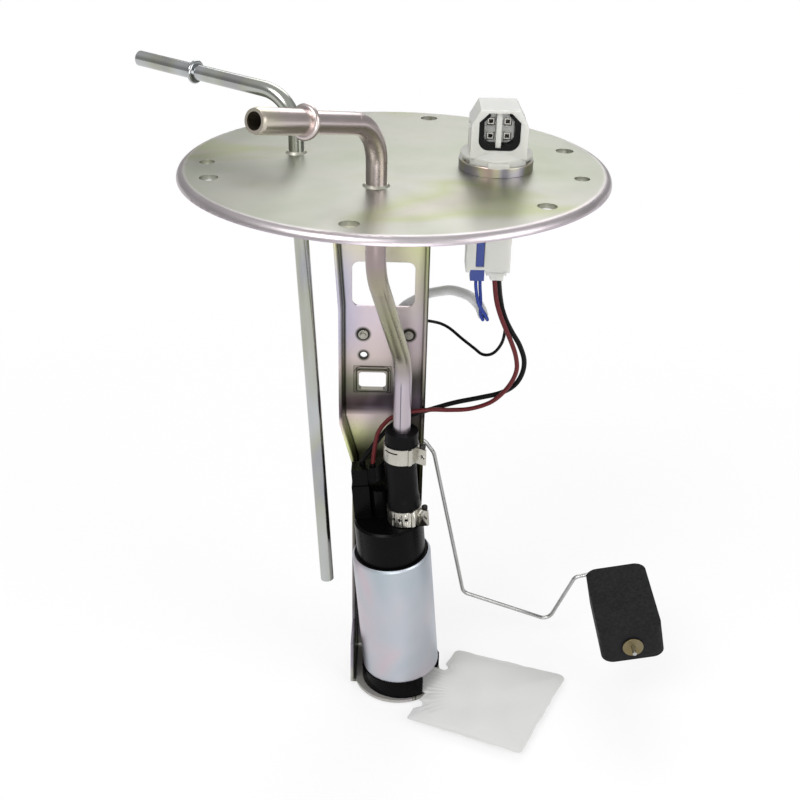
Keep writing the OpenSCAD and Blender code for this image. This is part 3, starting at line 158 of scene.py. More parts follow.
SUPPLY_HEIGHTS = (-140, 40)  # heights that the supply tube's film runs over
SUPPLY_FILM = (
    (0.0, "#eae7f2"), (0.22, "#eae7f2"), (0.26, "#cfccca"), (0.33, "#cacdac"), (0.5, "#ced0b4"),
    (0.62, "#c3bab6"), (0.76, "#ccc3c1"), (0.8, "#fffaf6"), (1.0, "#fffaf6"))
SEAM_X = 4.55  # the supply tube's seam, and how its line fades sideways and upward
SEAM_SIDES = (0.1, 0.3)
SEAM_TOP = (-101, -98)

HANGER_FOOT = -271
# Colours by height from the foot. The dark band at the step (0.541 to 0.603) is painted shade, and
# the pale band just below it (0.49 to 0.53) is a painted highlight.
HANGER_FILM_AND_PAINTED_LIGHT = (
    (0.0, "#a3a19b"), (0.02, "#a3a19b"), (0.035, "#8b8592"), (0.1, "#847e8b"), (0.13, "#5b5955"),
    (0.42, "#78775f"), (0.49, "#d9dca2"), (0.508, "#ddd6b6"), (0.53, "#e0cdca"),
    (0.541, "#4d4142"), (0.565, "#5b4d4f"), (0.582, "#66645a"), (0.603, "#7f7e6e"),
    (0.645, "#c3b5b2"), (0.72, "#cbbec6"), (0.8, "#c6bdb9"), (0.88, "#bdbf95"), (0.95, "#b9bd8c"),
    (1.0, "#8f9570"))
# Painted shade along the side folds: dark lines with lighter strips where the flanges turn off the
# face.
LEFT_FOLD_TOP = (-72, 0, -4.7)  # the left fold leans out by this much between these heights,
LEFT_FOLD_STEP = (-152.5, -130.2, 6.1)  # and in by this much below the step
LEFT_FOLD_PLACE = (-24.1, -19.1)
LEFT_FOLD = (
    (0.0, "#ffffff"), (0.2, "#ffffff"), (0.27, "#b3b6a8"), (0.42, "#a3a799"), (0.5, "#4b5046"),
    (0.57, "#7d8177"), (0.66, "#ffffff"))
RIGHT_FOLD_PLACE = (11.8, 16.0)
RIGHT_FOLD = (
    (0.0, "#ffffff"), (0.4, "#ffffff"), (0.5, "#a9aca2"), (0.6, "#dcdfd4"), (0.78, "#c3c6bc"),
    (0.85, "#4b5047"), (0.91, "#5b6057"), (0.97, "#e3e6de"))
# Painted shade: dark lines round the pressed lip of the window.
WINDOW_X, WINDOW_Z = (-8.8, 6.3), (-109.3, 4.5)  # the lipped window's middle and half size
WINDOW_LIP_WIDTH = 2.6
WINDOW_LIP = (
    (0.0, "#ffffff"), (0.2, "#f2f4f0"), (0.34, "#4e544c"), (0.55, "#b9bfb4"), (0.72, "#ffffff"),
    (0.86, "#5d6258"), (1.0, "#ffffff"))
# Painted shade: a dark ring round the peep hole and round each rivet.
MARKS = ((-12.9, -96.9, 1.6), (-13.2, -86.4, 2.4), (7.6, -86.4, 2.4))  # peep hole, two rivets
MARK_RING_WIDTH = 1.6
MARK_RING = ((0.0, "#3b3e38"), (0.3, "#4d514a"), (0.6, "#b3b7ae"), (1.0, "#ffffff"))


class Finish:
    """A material under construction: a Principled shader and helpers that wire nodes into it."""

    def __init__(self, name, colour, metallic=0.0, roughness=0.5):
        self.material = bpy.data.materials.new(name)
        self.material.use_nodes = True
        self.material.diffuse_color = linear(colour)
        self.tree = self.material.node_tree
        self.shader = next(n for n in self.tree.nodes if n.type == "BSDF_PRINCIPLED")
        self.shader.inputs["Base Color"].default_value = linear(colour)
        self.shader.inputs["Metallic"].default_value = metallic
        self.shader.inputs["Roughness"].default_value = roughness

    def node(self, kind, sockets=(), **settings):
        """A new node with its own settings and the values of its sockets."""
        made = self.tree.nodes.new(kind)
        for key, value in settings.items():
            setattr(made, key, value)
        for key, value in dict(sockets).items():
            made.inputs[key].default_value = value
        return made

    def join(self, source, target):
        self.tree.links.new(source, target)

    def place(self, scale=(1, 1, 1), turn=(0, 0, 0), shift=(0, 0, 0)):
        """Object coordinates in metres, stretched, turned and shifted."""
        radians = [math.radians(a) for a in turn]
        mapping = self.node(
            "ShaderNodeMapping", {"Scale": scale, "Rotation": radians, "Location": shift})
        self.join(self.node("ShaderNodeTexCoord").outputs["Object"], mapping.inputs["Vector"])
        return mapping.outputs["Vector"]

    def axis(self, place, which):
        made = self.node("ShaderNodeSeparateXYZ")
        self.join(place, made.inputs["Vector"])
        return made.outputs[which]

    def away(self, scale=(1, 1, 1), shift=(0, 0, 0)):
        """Distance in metres from a point, or from a line where one axis has a scale of 0."""
        made = self.node("ShaderNodeVectorMath", operation="LENGTH")
        self.join(self.place(scale=scale, shift=shift), made.inputs[0])
        return made.outputs["Value"]

    def noise(self, place, scale, detail=3.0, rough=0.5, distort=0.0):
        made = self.node("ShaderNodeTexNoise", {
            "Scale": scale, "Detail": detail, "Roughness": rough, "Distortion": distort})
        self.join(place, made.inputs["Vector"])
        return made.outputs["Fac"]

    def maths(self, how, first, second=0.0):
        made = self.node("ShaderNodeMath", operation=how)
        for slot, value in zip(made.inputs, (first, second)):
            if hasattr(value, "is_linked"):
                self.join(value, slot)
            else:
                slot.default_value = value
        return made.outputs[0]

    def product(self, mask, *others):
        for other in others:
            mask = self.maths("MULTIPLY", mask, other)
        return mask

    def outside(self, value, middle, half=0.0):
        """How far a place is outside a strip, in metres, for a strip given in millimetres."""
        off = self.maths("ABSOLUTE", self.maths("SUBTRACT", value, middle * MM))
        return self.maths("SUBTRACT", off, half * MM)

    def span(self, value, start, end, first, last):
        """Runs from first to last while a value goes from start to end, and stays level beyond."""
        made = self.node("ShaderNodeMapRange", {
            "From Min": start, "From Max": end, "To Min": first, "To Max": last})
        self.join(value, made.inputs["Value"])
        return made.outputs["Result"]

    def fade(self, value, start, end, first=0.0, last=1.0):
        """A span along a length whose start and end are given in millimetres."""
        return self.span(value, start * MM, end * MM, first, last)

    def spread(self, noise, first, last, start=0.3, end=0.7):
        """A span over the values that a noise usually takes."""
        return self.span(noise, start, end, first, last)

    def ramp(self, value, stops):
        """Colours along a value; each stop is (position, colour)."""
        made = self.node("ShaderNodeValToRGB")
        band = made.color_ramp
        while len(band.elements) < len(stops):
            band.elements.new(0.5)
        for element, (position, _) in zip(band.elements, stops):
            element.position = position
        for element, (_, colour) in zip(band.elements, stops):
            element.color = linear(colour)
        self.join(value, made.inputs["Fac"])
        return made.outputs["Color"]

    def mix(self, amount, first, second, how="MIX"):
        made = self.node("ShaderNodeMix", data_type="RGBA", blend_type=how)
        for key, value in ((0, amount), (6, first), (7, second)):
            if hasattr(value, "is_linked"):
                self.join(value, made.inputs[key])
            else:
                made.inputs[key].default_value = linear(value) if key else value
        return made.outputs[2]

    def darken(self, first, second):
        return self.mix(1.0, first, second, "MULTIPLY")

    def paint(self, colour):
        self.join(colour, self.shader.inputs["Base Color"])

    def painted(self):
        """The colour that is painted so far."""
        return self.shader.inputs["Base Color"].links[0].from_socket

    def roughness(self, value):
        self.join(value, self.shader.inputs["Roughness"])

    def gloss(self, level):
        self.shader.inputs["Specular IOR Level"].default_value = level

    def bump(self, height, distance, strength):
        """Raises the surface in its shading; the distance is in millimetres."""
        made = self.node("ShaderNodeBump", {"Distance": distance * MM, "Strength": strength})
        self.join(height, made.inputs["Height"])
        self.join(made.outputs["Normal"], self.shader.inputs["Normal"])

    def soft_edges(self):
        """Shades sharp edges as if they were rounded, without changing the mesh."""
        made = self.node("ShaderNodeBevel", {"Radius": SOFT_EDGE * MM}, samples=4)
        links = self.shader.inputs["Normal"].links
        target = links[0].from_node if links else self.shader
        self.join(made.outputs[0], target.inputs["Normal"])


def passivated_zinc(name, tints, base, roughness, patch, stretch=(1, 1, 1), amount=0.8, grain=0.0):
    """Zinc plate under a thin chromate film, whose tint drifts over the sheet."""
    made = Finish(name, base, metallic=1.0, roughness=roughness)
    drift = made.noise(made.place(scale=stretch), patch, detail=2.0, rough=0.55, distort=0.6)
    made.paint(made.mix(amount, base, made.ramp(made.spread(drift, 0.0, 1.0), tints)))
    place = made.place()
    cloud = made.noise(place, 55.0)
    made.roughness(made.spread(cloud, roughness - 0.06, roughness + 0.06))
    if grain:
        made.bump(made.noise(place, 700.0, detail=2.0), grain, 0.3)
    return made


def finish_flange():
    """Green-grey zinc with warmer patches, a painted highlight on the rim and a lilac underside of
    the rim.
    """
    made = passivated_zinc(
        "flange zinc",
        ((0.0, "#90957f"), (0.35, "#999c8f"), (0.6, "#a19f98"), (0.82, "#949872"),
         (1.0, "#a39b98")),
        "#9ca091", 0.37, patch=9.0, stretch=(1, 1.6, 1), grain=0.005)
    under = made.fade(made.axis(made.place(), 2), *RIM_UNDERSIDE, 1.0, 0.0)
    tinted = made.mix(under, made.painted(), "#b9adb8")
    # Painted highlight: the rolled rim is painted pale all round, less so on its lilac underside.
    rim = made.product(made.fade(made.away(scale=(1, 1, 0)), *RIM_ROUND, 0.0, 0.8),
                       made.span(under, 0.0, 1.0, 1.0, 0.2))
    made.paint(made.mix(rim, tinted, "#d3cad0"))
    made.soft_edges()
    return made


def finish_supply():
    """Pinkish grey above, olive along the slope, pale lilac below with the tube's dark seam."""
    made = passivated_zinc(
        "supply tube zinc",
        ((0.0, "#cbcbb2"), (0.3, "#c8c0c0"), (0.6, "#cec4cb"), (0.85, "#c8c8ae"),
         (1.0, "#ccbebe")),
        "#cfc9c6", 0.3, patch=20.0, stretch=(1, 1, 0.5), amount=0.7)
    place = made.place()
    x, z = made.axis(place, 0), made.axis(place, 2)
    tinted = made.darken(made.painted(), made.ramp(made.fade(z, *SUPPLY_HEIGHTS), SUPPLY_FILM))
    seam = made.product(made.fade(made.outside(x, SEAM_X), *SEAM_SIDES, 0.85, 0.0),
                        made.fade(z, *SEAM_TOP, 1.0, 0.0))
    made.paint(made.mix(seam, tinted, "#4c4e5e"))
    return made


def finish_return():
    return passivated_zinc(
        "return tube zinc",
        ((0.0, "#a3a6a8"), (0.5, "#b8babb"), (0.8, "#a9ab9b"), (1.0, "#9b9ba2")),
        "#bcbfc1", 0.2, patch=30.0, stretch=(1, 1, 0.35))


def finish_ring():
    return passivated_zinc(
        "connector ring zinc",
        ((0.0, "#cdb3c4"), (0.3, "#b9adc4"), (0.55, "#b3b2c4"), (0.75, "#c3c19c"),
         (1.0, "#cbb0aa")),
        "#bdb3b8", 0.3, patch=45.0, amount=0.7, grain=0.003)


def finish_can(colour):
    return passivated_zinc(
        "pump can zinc",
        ((0.0, "#b0bac2"), (0.4, "#bec0c8"), (0.65, "#c9bdc5"), (0.85, "#bcc2b9"),
         (1.0, "#c5c1b9")),
        colour, 0.46, patch=24.0, stretch=(1, 1, 0.6), amount=0.9, grain=0.006)


def hanger_film_and_painted_light(made, x, z):
    """Colours of the hanger's film by height, with warm, green and blue patches, painted shade at
    the step and a painted highlight just below it.
    """
    drift = made.noise(made.place(scale=(1, 1, 0.6)), 16.0, detail=2.0, distort=0.5)
    height = made.maths("ADD", made.fade(z, HANGER_FOOT, 0.0), made.spread(drift, -0.008, 0.008))
    film = made.ramp(height, HANGER_FILM_AND_PAINTED_LIGHT)
    warm = made.noise(made.place(scale=(1, 1, 0.5)), 38.0, detail=2.0)
    film = made.mix(made.spread(warm, 0.0, 0.45, start=0.45), film, "#a79aae")
    green = made.product(made.fade(x, -4, 12, 0.0, 0.75), made.fade(z, -85, -45))
    film = made.mix(green, film, "#b6b98a")
    blue = made.product(made.fade(x, -22, -12, 0.6, 0.0), made.fade(z, -100, -85),
                        made.fade(z, -58, -42, 1.0, 0.0))
    return made.mix(blue, film, "#a9abc4")


def hanger_shade(made, x, z):
    """Painted shade: dark lines with lighter strips along the folds, dark lines round the lipped
    window, dark rings round the peep hole and the rivets, and painted shade behind the pump.
    """
    start, end, lean = LEFT_FOLD_TOP
    left = made.maths("SUBTRACT", x, made.fade(z, start, end, 0.0, lean * MM))
    start, end, lean = LEFT_FOLD_STEP
    left = made.maths("SUBTRACT", left, made.fade(z, start, end, lean * MM, 0.0))
    shade = made.darken(made.ramp(made.fade(left, *LEFT_FOLD_PLACE), LEFT_FOLD),
                        made.ramp(made.fade(x, *RIGHT_FOLD_PLACE), RIGHT_FOLD))
    # Painted shadow: the plate behind the pump, on its right, is darkened.
    painted_pump_shadow = made.product(made.fade(x, -2, 6, 0.0, 0.85), made.fade(z, -130, -118, 1.0, 0.0),
                               made.fade(z, -264, -258))
    shade = made.mix(painted_pump_shadow, shade, "#3c3b36")
    lip = made.maths("MAXIMUM", made.outside(x, *WINDOW_X), made.outside(z, *WINDOW_Z))
    shade = made.darken(shade, made.ramp(made.fade(lip, 0, WINDOW_LIP_WIDTH), WINDOW_LIP))
    for mark_x, mark_z, radius in MARKS:
        away = made.away(scale=(1, 0, 1), shift=(-mark_x * MM, 0, -mark_z * MM))
        ring = made.ramp(made.fade(away, radius, radius + MARK_RING_WIDTH), MARK_RING)
        shade = made.darken(shade, ring)
    return shade


def finish_hanger():
    """Yellow-green at the top, pinkish in the middle, painted shade at the step with a painted
    highlight below it, and dark toward the foot.
    """
    made = Finish("hanger zinc", "#b3b08f", metallic=1.0, roughness=0.33)
    place = made.place()
    x, z = made.axis(place, 0), made.axis(place, 2)
    made.paint(made.darken(hanger_film_and_painted_light(made, x, z), hanger_shade(made, x, z)))
    # Painted highlight: below the jog the metal is made partly non-metallic so its pale colour
    # shows bright. Toward the foot it is less metallic too.
    painted_highlight = made.product(made.fade(z, -125.5, -123.5, 1.0, 0.0), made.fade(z, -150, -135),
                       made.fade(x, -10, 4, 0.75, 0.0))
    metal = made.maths("SUBTRACT", made.fade(z, -214, -203, 0.35, 1.0), painted_highlight)
    made.join(metal, made.shader.inputs["Metallic"])
    grain = made.noise(place, 800.0)
    cloud = made.noise(place, 40.0)
    made.roughness(made.spread(made.mix(0.6, grain, cloud), 0.27, 0.4))
    made.bump(grain, 0.004, 0.25)
    made.soft_edges()
    return made


def finish_steel(name, colour, roughness):
    """Bare metal, finely scratched and slightly stained."""
    made = Finish(name, colour, metallic=1.0, roughness=roughness)
    place = made.place()
    lines = made.noise(place, 900.0, detail=4.0, rough=0.7)
    cloud = made.noise(place, 120.0, detail=4.0)
    made.paint(made.mix(made.spread(cloud, 0.0, 0.3, start=0.35), colour, "#8d8a84"))
    made.roughness(made.spread(lines, roughness - 0.08, roughness + 0.12))
    made.bump(lines, 0.006, 0.3)
    return made


def moulded_plastic(name, colour, roughness, cloudy="#000000", cloud_amount=0.0, depth=0.012,
                    gloss=0.4):
    """Moulded plastic with a faint spark-eroded grain."""
    made = Finish(name, colour, roughness=roughness)
    place = made.place()
    speckle = made.noise(place, 1400.0, rough=0.55)
    cloud = made.noise(place, 60.0)
    made.paint(made.mix(made.spread(cloud, 0.0, cloud_amount, start=0.35), colour, cloudy))
    made.roughness(made.spread(speckle, roughness - 0.06, roughness + 0.08))
    made.bump(speckle, depth, 0.4)
    made.gloss(gloss)
    return made


def finish_nylon(colour):
    """Natural nylon, which lets light in under its skin."""
    made = moulded_plastic("natural nylon", colour, 0.36, cloudy="#c2c1b8", cloud_amount=0.4)
    made.shader.inputs["Subsurface Weight"].default_value = 0.6
    made.shader.inputs["Subsurface Radius"].default_value = (0.006, 0.0056, 0.005)
    made.shader.inputs["Subsurface Scale"].default_value = 1.0
    return made


def finish_rubber(name, colour, roughness, gloss=0.12):
    """Dark rubber with a slightly dusty skin."""
    made = Finish(name, colour, roughness=roughness)
    place = made.place()
    skin = made.noise(place, 700.0, detail=4.0, rough=0.65)
    dust = made.noise(place, 40.0, detail=5.0, rough=0.6)
    made.paint(made.mix(made.spread(dust, 0.0, 0.06, start=0.45, end=0.8), colour, "#38383a"))
    made.roughness(made.spread(skin, roughness - 0.08, roughness + 0.12))
    made.bump(skin, 0.015, 0.35)
    made.gloss(gloss)
    return made


def finish_foam(colour):
    """Closed-cell rubber foam: fine pits all over and a dull skin."""
    made = Finish("float foam", colour, roughness=0.75)
    place = made.place()
    cells = made.node("ShaderNodeTexVoronoi", {"Scale": 1100.0})
    made.join(place, cells.inputs["Vector"])
    cloud = made.noise(place, 70.0, detail=4.0)
    made.paint(made.mix(made.spread(cloud, 0.0, 0.6, start=0.35), colour, "#1a1a1c"))
    rough = made.noise(place, 600.0)
    made.roughness(made.spread(rough, 0.62, 0.85))
    made.bump(made.mix(0.5, cells.outputs["Distance"], rough), 0.08, 0.5)
    made.gloss(0.2)
    return made


def finish_filter_cloth(colour):
    """Fine nylon filter cloth: a tight square weave with slight clouding."""
    made = Finish("filter cloth", colour, roughness=0.9)
    place = made.place(turn=(0, 0, 27))
    weave = []
    for direction in ("X", "Y"):
        threads = made.node(
            "ShaderNodeTexWave", {"Scale": 700.0, "Distortion": 0.4, "Detail": 1.0},
            bands_direction=direction)
        made.join(place, threads.inputs["Vector"])
        weave.append(threads.outputs["Fac"])
    cloth = made.mix(0.5, *weave)
    cloud = made.noise(place, 30.0)
    clouded = made.mix(made.spread(cloud, 0.0, 0.6, start=0.35), colour, "#c8c8c5")
    gaps = made.spread(cloth, 0.08, 0.0, start=0.2, end=0.8)
    made.paint(made.mix(gaps, clouded, "#a9a9a5"))
    made.bump(cloth, 0.02, 0.3)
    made.gloss(0.15)
    return made


def finish_insulation(name, colour, gloss=0.25):
    """A wire's insulation."""
    made = Finish(name, colour, roughness=0.42)
    place = made.place()
    skin = made.noise(place, 500.0)
    dust = made.spread(made.noise(place, 90.0), 0.0, 0.04, start=0.4)
    made.paint(made.mix(dust, colour, "#5a5557"))
    made.roughness(made.spread(skin, 0.35, 0.52))
    made.bump(skin, 0.01, 0.4)
    made.gloss(gloss)
    return made


def finish_sleeve(colour):
    """A pale, cloudy sleeve that lets some of what is behind it through."""
    made = Finish("pale sleeve", colour, roughness=0.34)
    cloud = made.noise(made.place(), 120.0)
    made.paint(made.mix(made.spread(cloud, 0.0, 0.5), colour, "#eaecee"))
    made.shader.inputs["Alpha"].default_value = 0.85
    return made


# Meshes

FLAT_LIMIT = math.radians(0.3)  # faces that differ by less are one flat face
BEVEL_LIMIT = math.radians(40)  # edges that turn by more are rounded
FACE_ORDER = Vector((1.0, 2.7, 7.1))  # a tube's faces are listed along this, the same each run


def in_scene(name, data):
    """A new object in the scene."""
    made = bpy.data.objects.new(name, data)
    bpy.context.scene.collection.objects.link(made)
    return made


def new_piece(name, mesh_maker, finish, body, smooth_angle=35.0):
    """A finished piece from a bmesh, with its material, riding on a body."""
    shape = bmesh.new()
    mesh_maker(shape)
    bmesh.ops.remove_doubles(shape, verts=shape.verts, dist=1e-6)
    bmesh.ops.recalc_face_normals(shape, faces=shape.faces)
    mesh = bpy.data.meshes.new(name)
    shape.to_mesh(mesh)
    shape.free()
    piece = in_scene(name, mesh)
    mesh.materials.append(finish.material)
    mesh.polygons.foreach_set("use_smooth", [True] * len(mesh.polygons))
    mesh.set_sharp_from_angle(angle=math.radians(smooth_angle))
    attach(piece, body)
    return piece


def dress(node, finish, edge=0.0, segments=3, smooth_angle=32.0, flat_faces=True, weld_gap=0.001):
    """Gives a CAD node its material, rounds or keeps its edges, and keeps its flat faces flat.

    The edge and the weld gap are in millimetres. Without an edge, the mesh keeps its shape."""
    piece = NODES[node]
    piece.data.materials.clear()
    piece.data.materials.append(finish.material)
    piece.data.polygons.foreach_set("use_smooth", [True] * len(piece.data.polygons))
    weld = piece.modifiers.new("weld", "WELD")
    weld.merge_threshold = weld_gap * MM
    if edge:
        flats = piece.modifiers.new("flat faces", "DECIMATE")
        flats.decimate_type = "DISSOLVE"
        flats.angle_limit = FLAT_LIMIT
        bevel = piece.modifiers.new("edges", "BEVEL")
        bevel.width = edge * MM
        bevel.segments = segments
        bevel.limit_method = "ANGLE"
        bevel.angle_limit = BEVEL_LIMIT
        bevel.miter_outer = "MITER_ARC"
    else:
        split = piece.modifiers.new("sharp edges", "EDGE_SPLIT")
        split.split_angle = math.radians(smooth_angle)
    if flat_faces:
        normals = piece.modifiers.new("flat normals", "WEIGHTED_NORMAL")
        normals.mode = "FACE_AREA_WITH_ANGLE"
        normals.weight = 60
    return piece


def smooth_line(route, steps):
    """A Catmull-Rom line in metres through a route in millimetres."""
    points = [mm(*p) for p in route]
    line = []
    for i in range(len(points) - 1):
        a, b = points[max(i - 1, 0)], points[i]
        c, d = points[i + 1], points[min(i + 2, len(points) - 1)]
        for k in range(steps):
            u = k / steps
            line.append(0.5 * (2 * b + (c - a) * u + (2 * a - 5 * b + 4 * c - d) * u * u
                               + (3 * b - a - 3 * c + d) * u ** 3))
    return line + [points[-1]]


def direction_at(line, i):
    return (line[min(i + 1, len(line) - 1)] - line[max(i - 1, 0)]).normalized()


def swept_curve(name, line, radius, finish, body):
    """A round cord: a curve with one open spline and a round section."""
    curve = bpy.data.curves.new(name, "CURVE")
    curve.dimensions = "3D"
    curve.bevel_depth = radius
    curve.bevel_resolution = 5
    curve.use_fill_caps = True
    spline = curve.splines.new("POLY")
    spline.points.add(len(line) - 1)
    for point, place in zip(spline.points, line):
        point.co = (*place, 1.0)
    spline.use_smooth = True
    piece = in_scene(name, curve)
    curve.materials.append(finish.material)
    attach(piece, body)
    return piece


def tube_mesh(shape, line, radius, wall):
    """An open tube: a ring at each point of a line, bridged to the next, then given its wall."""
    turn = (line[1] - line[0]).to_track_quat("Z", "Y")
    before = None
    for i, point in enumerate(line):
        turn = (turn @ Vector((0, 0, 1))).rotation_difference(direction_at(line, i)) @ turn
        place = Matrix.Translation(point) @ turn.to_matrix().to_4x4()
        ring = bmesh.ops.create_circle(shape, segments=28, radius=radius, matrix=place)["verts"]
        edges = list(dict.fromkeys(edge for vert in ring for edge in vert.link_edges))
        if before:
            bmesh.ops.bridge_loops(shape, edges=before + edges)
        before = edges
    bmesh.ops.recalc_face_normals(shape, faces=shape.faces)
    bmesh.ops.solidify(shape, geom=shape.faces[:], thickness=wall)
    shape.faces.sort(key=lambda face: face.calc_center_median().dot(FACE_ORDER))


# Camera and stage

SENSOR = 36.0
LAMPS = (  # name, place, aim, size and power
    ("key lamp", (-0.55, -0.7, 0.85), (0.0, 0.0, -0.1), 0.7, 7.5),
    ("fill lamp", (0.9, -0.55, 0.35), (0.03, 0.0, -0.15), 0.8, 5.0),
    ("back lamp", (0.1, 0.9, 0.7), (0.0, 0.0, -0.1), 0.9, 4.5),
    ("front lamp", (0.05, -1.25, 0.0), (0.02, 0.0, -0.12), 0.8, 6.0),
)
FLOOR_HALF = 6.0
FLOOR_FADE = (280, 600)  # millimetres from the middle over which the floor turns plain white,
FLOOR_WHITE = (0.72, 1.0)  # from this share of white to this one
SKY_LOW, SKY_HIGH = (0.42, 0.55), (0.8, 1.0)  # height and grey of the light from all round


class MODULE_OT_camera(Operator):
    """Places the camera where the photograph was taken from."""

    bl_idname = "module.camera"
    bl_label = "Camera"

    def execute(self, context):
        sizes = context.scene.module_sizes
        lens = bpy.data.cameras.new("camera")
        lens.sensor_width = SENSOR
        lens.lens = sizes.camera_lens
        lens.clip_start = 0.01
        camera = in_scene("camera", lens)
        pitch = Matrix.Rotation(math.pi / 2 - sizes.camera_pitch, 4, "X")
        roll = Matrix.Rotation(sizes.camera_roll, 4, "Z")
        camera.matrix_world = Matrix.Translation(sizes.camera_place) @ (pitch @ roll)
        context.scene.camera = camera
        return {"FINISHED"}


class MODULE_OT_stage(Operator):
    """Lays the floor and sets the lamps and the world."""

    bl_idname = "module.stage"
    bl_label = "Stage"

    def execute(self, context):
        scene = context.scene
        scene.view_settings.view_transform = "Standard"
        self.floor(scene)
        self.world(scene)
        for name, place, aim, size, power in LAMPS:
            lamp = bpy.data.lights.new(name, "AREA")
            lamp.shape = "DISK"
            lamp.size = size
            lamp.energy = power * scene.module_sizes.lamp_share
            holder = in_scene(name, lamp)
            holder.location = place
            look = Vector(aim) - Vector(place)
            holder.rotation_euler = look.to_track_quat("-Z", "Y").to_euler()
        return {"FINISHED"}

    def floor(self, scene):
        low = CAD_BOX[0].z - scene.module_sizes.floor_gap
        shape = bmesh.new()
        bmesh.ops.create_grid(shape, x_segments=1, y_segments=1, size=FLOOR_HALF)
        bmesh.ops.translate(shape, verts=shape.verts, vec=(0, 0, low))
        mesh = bpy.data.meshes.new("floor")
        shape.to_mesh(mesh)
        shape.free()
        floor = in_scene("floor", mesh)
        mesh.materials.append(self.floor_finish(scene.module_colours.floor).material)

    def floor_finish(self, colour):
        """Matte for the light on the object; the camera and gloss see it nearly plain white."""
        made = Finish("pale floor", colour, roughness=0.9)
        light = made.node("ShaderNodeLightPath")
        white = made.node("ShaderNodeEmission")
        seen = made.maths("MAXIMUM", light.outputs["Is Camera Ray"], light.outputs["Is Glossy Ray"])
        share = made.product(seen, made.fade(made.away(), *FLOOR_FADE, *FLOOR_WHITE))
        blend = made.node("ShaderNodeMixShader")
        output = next(n for n in made.tree.nodes if n.type == "OUTPUT_MATERIAL")
        made.join(share, blend.inputs["Fac"])
        made.join(made.shader.outputs[0], blend.inputs[1])
        made.join(white.outputs[0], blend.inputs[2])
        made.join(blend.outputs[0], output.inputs["Surface"])
        return made

    def world(self, scene):
        """Plain white to the camera, and a soft light that grows toward the top."""
        world = scene.world or bpy.data.worlds.new("studio")
        scene.world = world
        world.use_nodes = True
        nodes, links = world.node_tree.nodes, world.node_tree.links
        nodes.clear()
        output = nodes.new("ShaderNodeOutputWorld")
        seen = nodes.new("ShaderNodeBackground")
        seen.inputs["Color"].default_value = (1, 1, 1, 1)
        lighting = nodes.new("ShaderNodeBackground")
        lighting.inputs["Strength"].default_value = scene.module_sizes.world_light
        place = nodes.new("ShaderNodeTexCoord")
        height = nodes.new("ShaderNodeSeparateXYZ")
        ramp = nodes.new("ShaderNodeValToRGB")
        for element, (position, grey) in zip(ramp.color_ramp.elements, (SKY_LOW, SKY_HIGH)):
            element.position = position
            element.color = (grey, grey, grey, 1)
        path = nodes.new("ShaderNodeLightPath")
        mix = nodes.new("ShaderNodeMixShader")
        links.new(place.outputs["Generated"], height.inputs["Vector"])
        links.new(height.outputs["Z"], ramp.inputs["Fac"])
        links.new(ramp.outputs["Color"], lighting.inputs["Color"])
        links.new(path.outputs["Is Camera Ray"], mix.inputs["Fac"])
        links.new(lighting.outputs[0], mix.inputs[1])
        links.new(seen.outputs[0], mix.inputs[2])
        links.new(mix.outputs[0], output.inputs["Surface"])


# The module's rigid pieces


class MODULE_OT_flange(Operator):
    """Finishes the flange plate, the brazed fillets and the connector's ring."""

    bl_idname = "module.flange"
    bl_label = "Flange"

    def execute(self, context):
        dress("flange_plate", finish_flange())
        dress("braze_rings", finish_steel("braze", "#c4c3b6", 0.35))
        dress("connector_ring", finish_ring(), edge=0.15)
        dress("ring_gasket", finish_rubber("gasket rubber", "#202021", 0.6))
        return {"FINISHED"}


class MODULE_OT_tubes(Operator):
    """Finishes the supply and return tubes."""

    bl_idname = "module.tubes"
    bl_label = "Fuel tubes"

    def execute(self, context):
        dress("supply_tube", finish_supply(), smooth_angle=60, flat_faces=False, weld_gap=0.045)
        dress("return_tube", finish_return(), smooth_angle=35, flat_faces=False)
        return {"FINISHED"}


class MODULE_OT_connector(Operator):
    """Finishes the wiring socket and the plug under the flange."""

    bl_idname = "module.connector"
    bl_label = "Wiring socket"

    def execute(self, context):
        colours = context.scene.module_colours
        nylon = finish_nylon(colours.nylon)
        dress("connector_housing", nylon, edge=0.5)
        dress("inner_plug", nylon, edge=0.35)
        dress("socket_seal", finish_rubber("seal rubber", "#0a0a0b", 0.5), edge=0.3)
        dress("terminal_blades", finish_steel("tinned blades", "#a5a49f", 0.4), edge=0.12)
        dress("plug_retainer", moulded_plastic("blue moulding", colours.retainer, 0.35), edge=0.2)
        return {"FINISHED"}


class MODULE_OT_hanger(Operator):
    """Finishes the pressed hanger and its rivets."""

    bl_idname = "module.hanger"
    bl_label = "Hanger"

    def execute(self, context):
        dress("hanger_bracket", finish_hanger())
        dress("sender_rivets", finish_steel("rivets", "#a3a197", 0.3), edge=0.25)
        return {"FINISHED"}


class MODULE_OT_sender(Operator):
    """Finishes the level sender, its arm, float and nut."""

    bl_idname = "module.sender"
    bl_label = "Level sender"

    def execute(self, context):
        brass = finish_steel("brass", "#c9a24e", 0.28)
        dress("sender_bracket", finish_steel("sender bracket steel", "#b4b6b8", 0.32), edge=0.2)
        dress("sender_housing", moulded_plastic("ivory moulding", "#d9d6ca", 0.42), edge=0.4)
        dress("resistor_card", moulded_plastic("resistor card", "#5d5a4b", 0.3), edge=0.08)
        dress("card_terminals", brass, edge=0.08)
        dress("earth_lug", brass, edge=0.1)
        dress("wiper", brass, edge=0.05)
        dress("arm_hub", moulded_plastic("hub moulding", "#3a3c3b", 0.4), edge=0.4)
        dress("float_arm", finish_steel("arm wire", "#b4b5b4", 0.28), smooth_angle=40,
              flat_faces=False)
        dress("push_nut", finish_steel("olive brass", "#7b6f50", 0.4), edge=0.15)
        dress("float_block", finish_foam(context.scene.module_colours.foam), edge=1.0, segments=4)
        return {"FINISHED"}


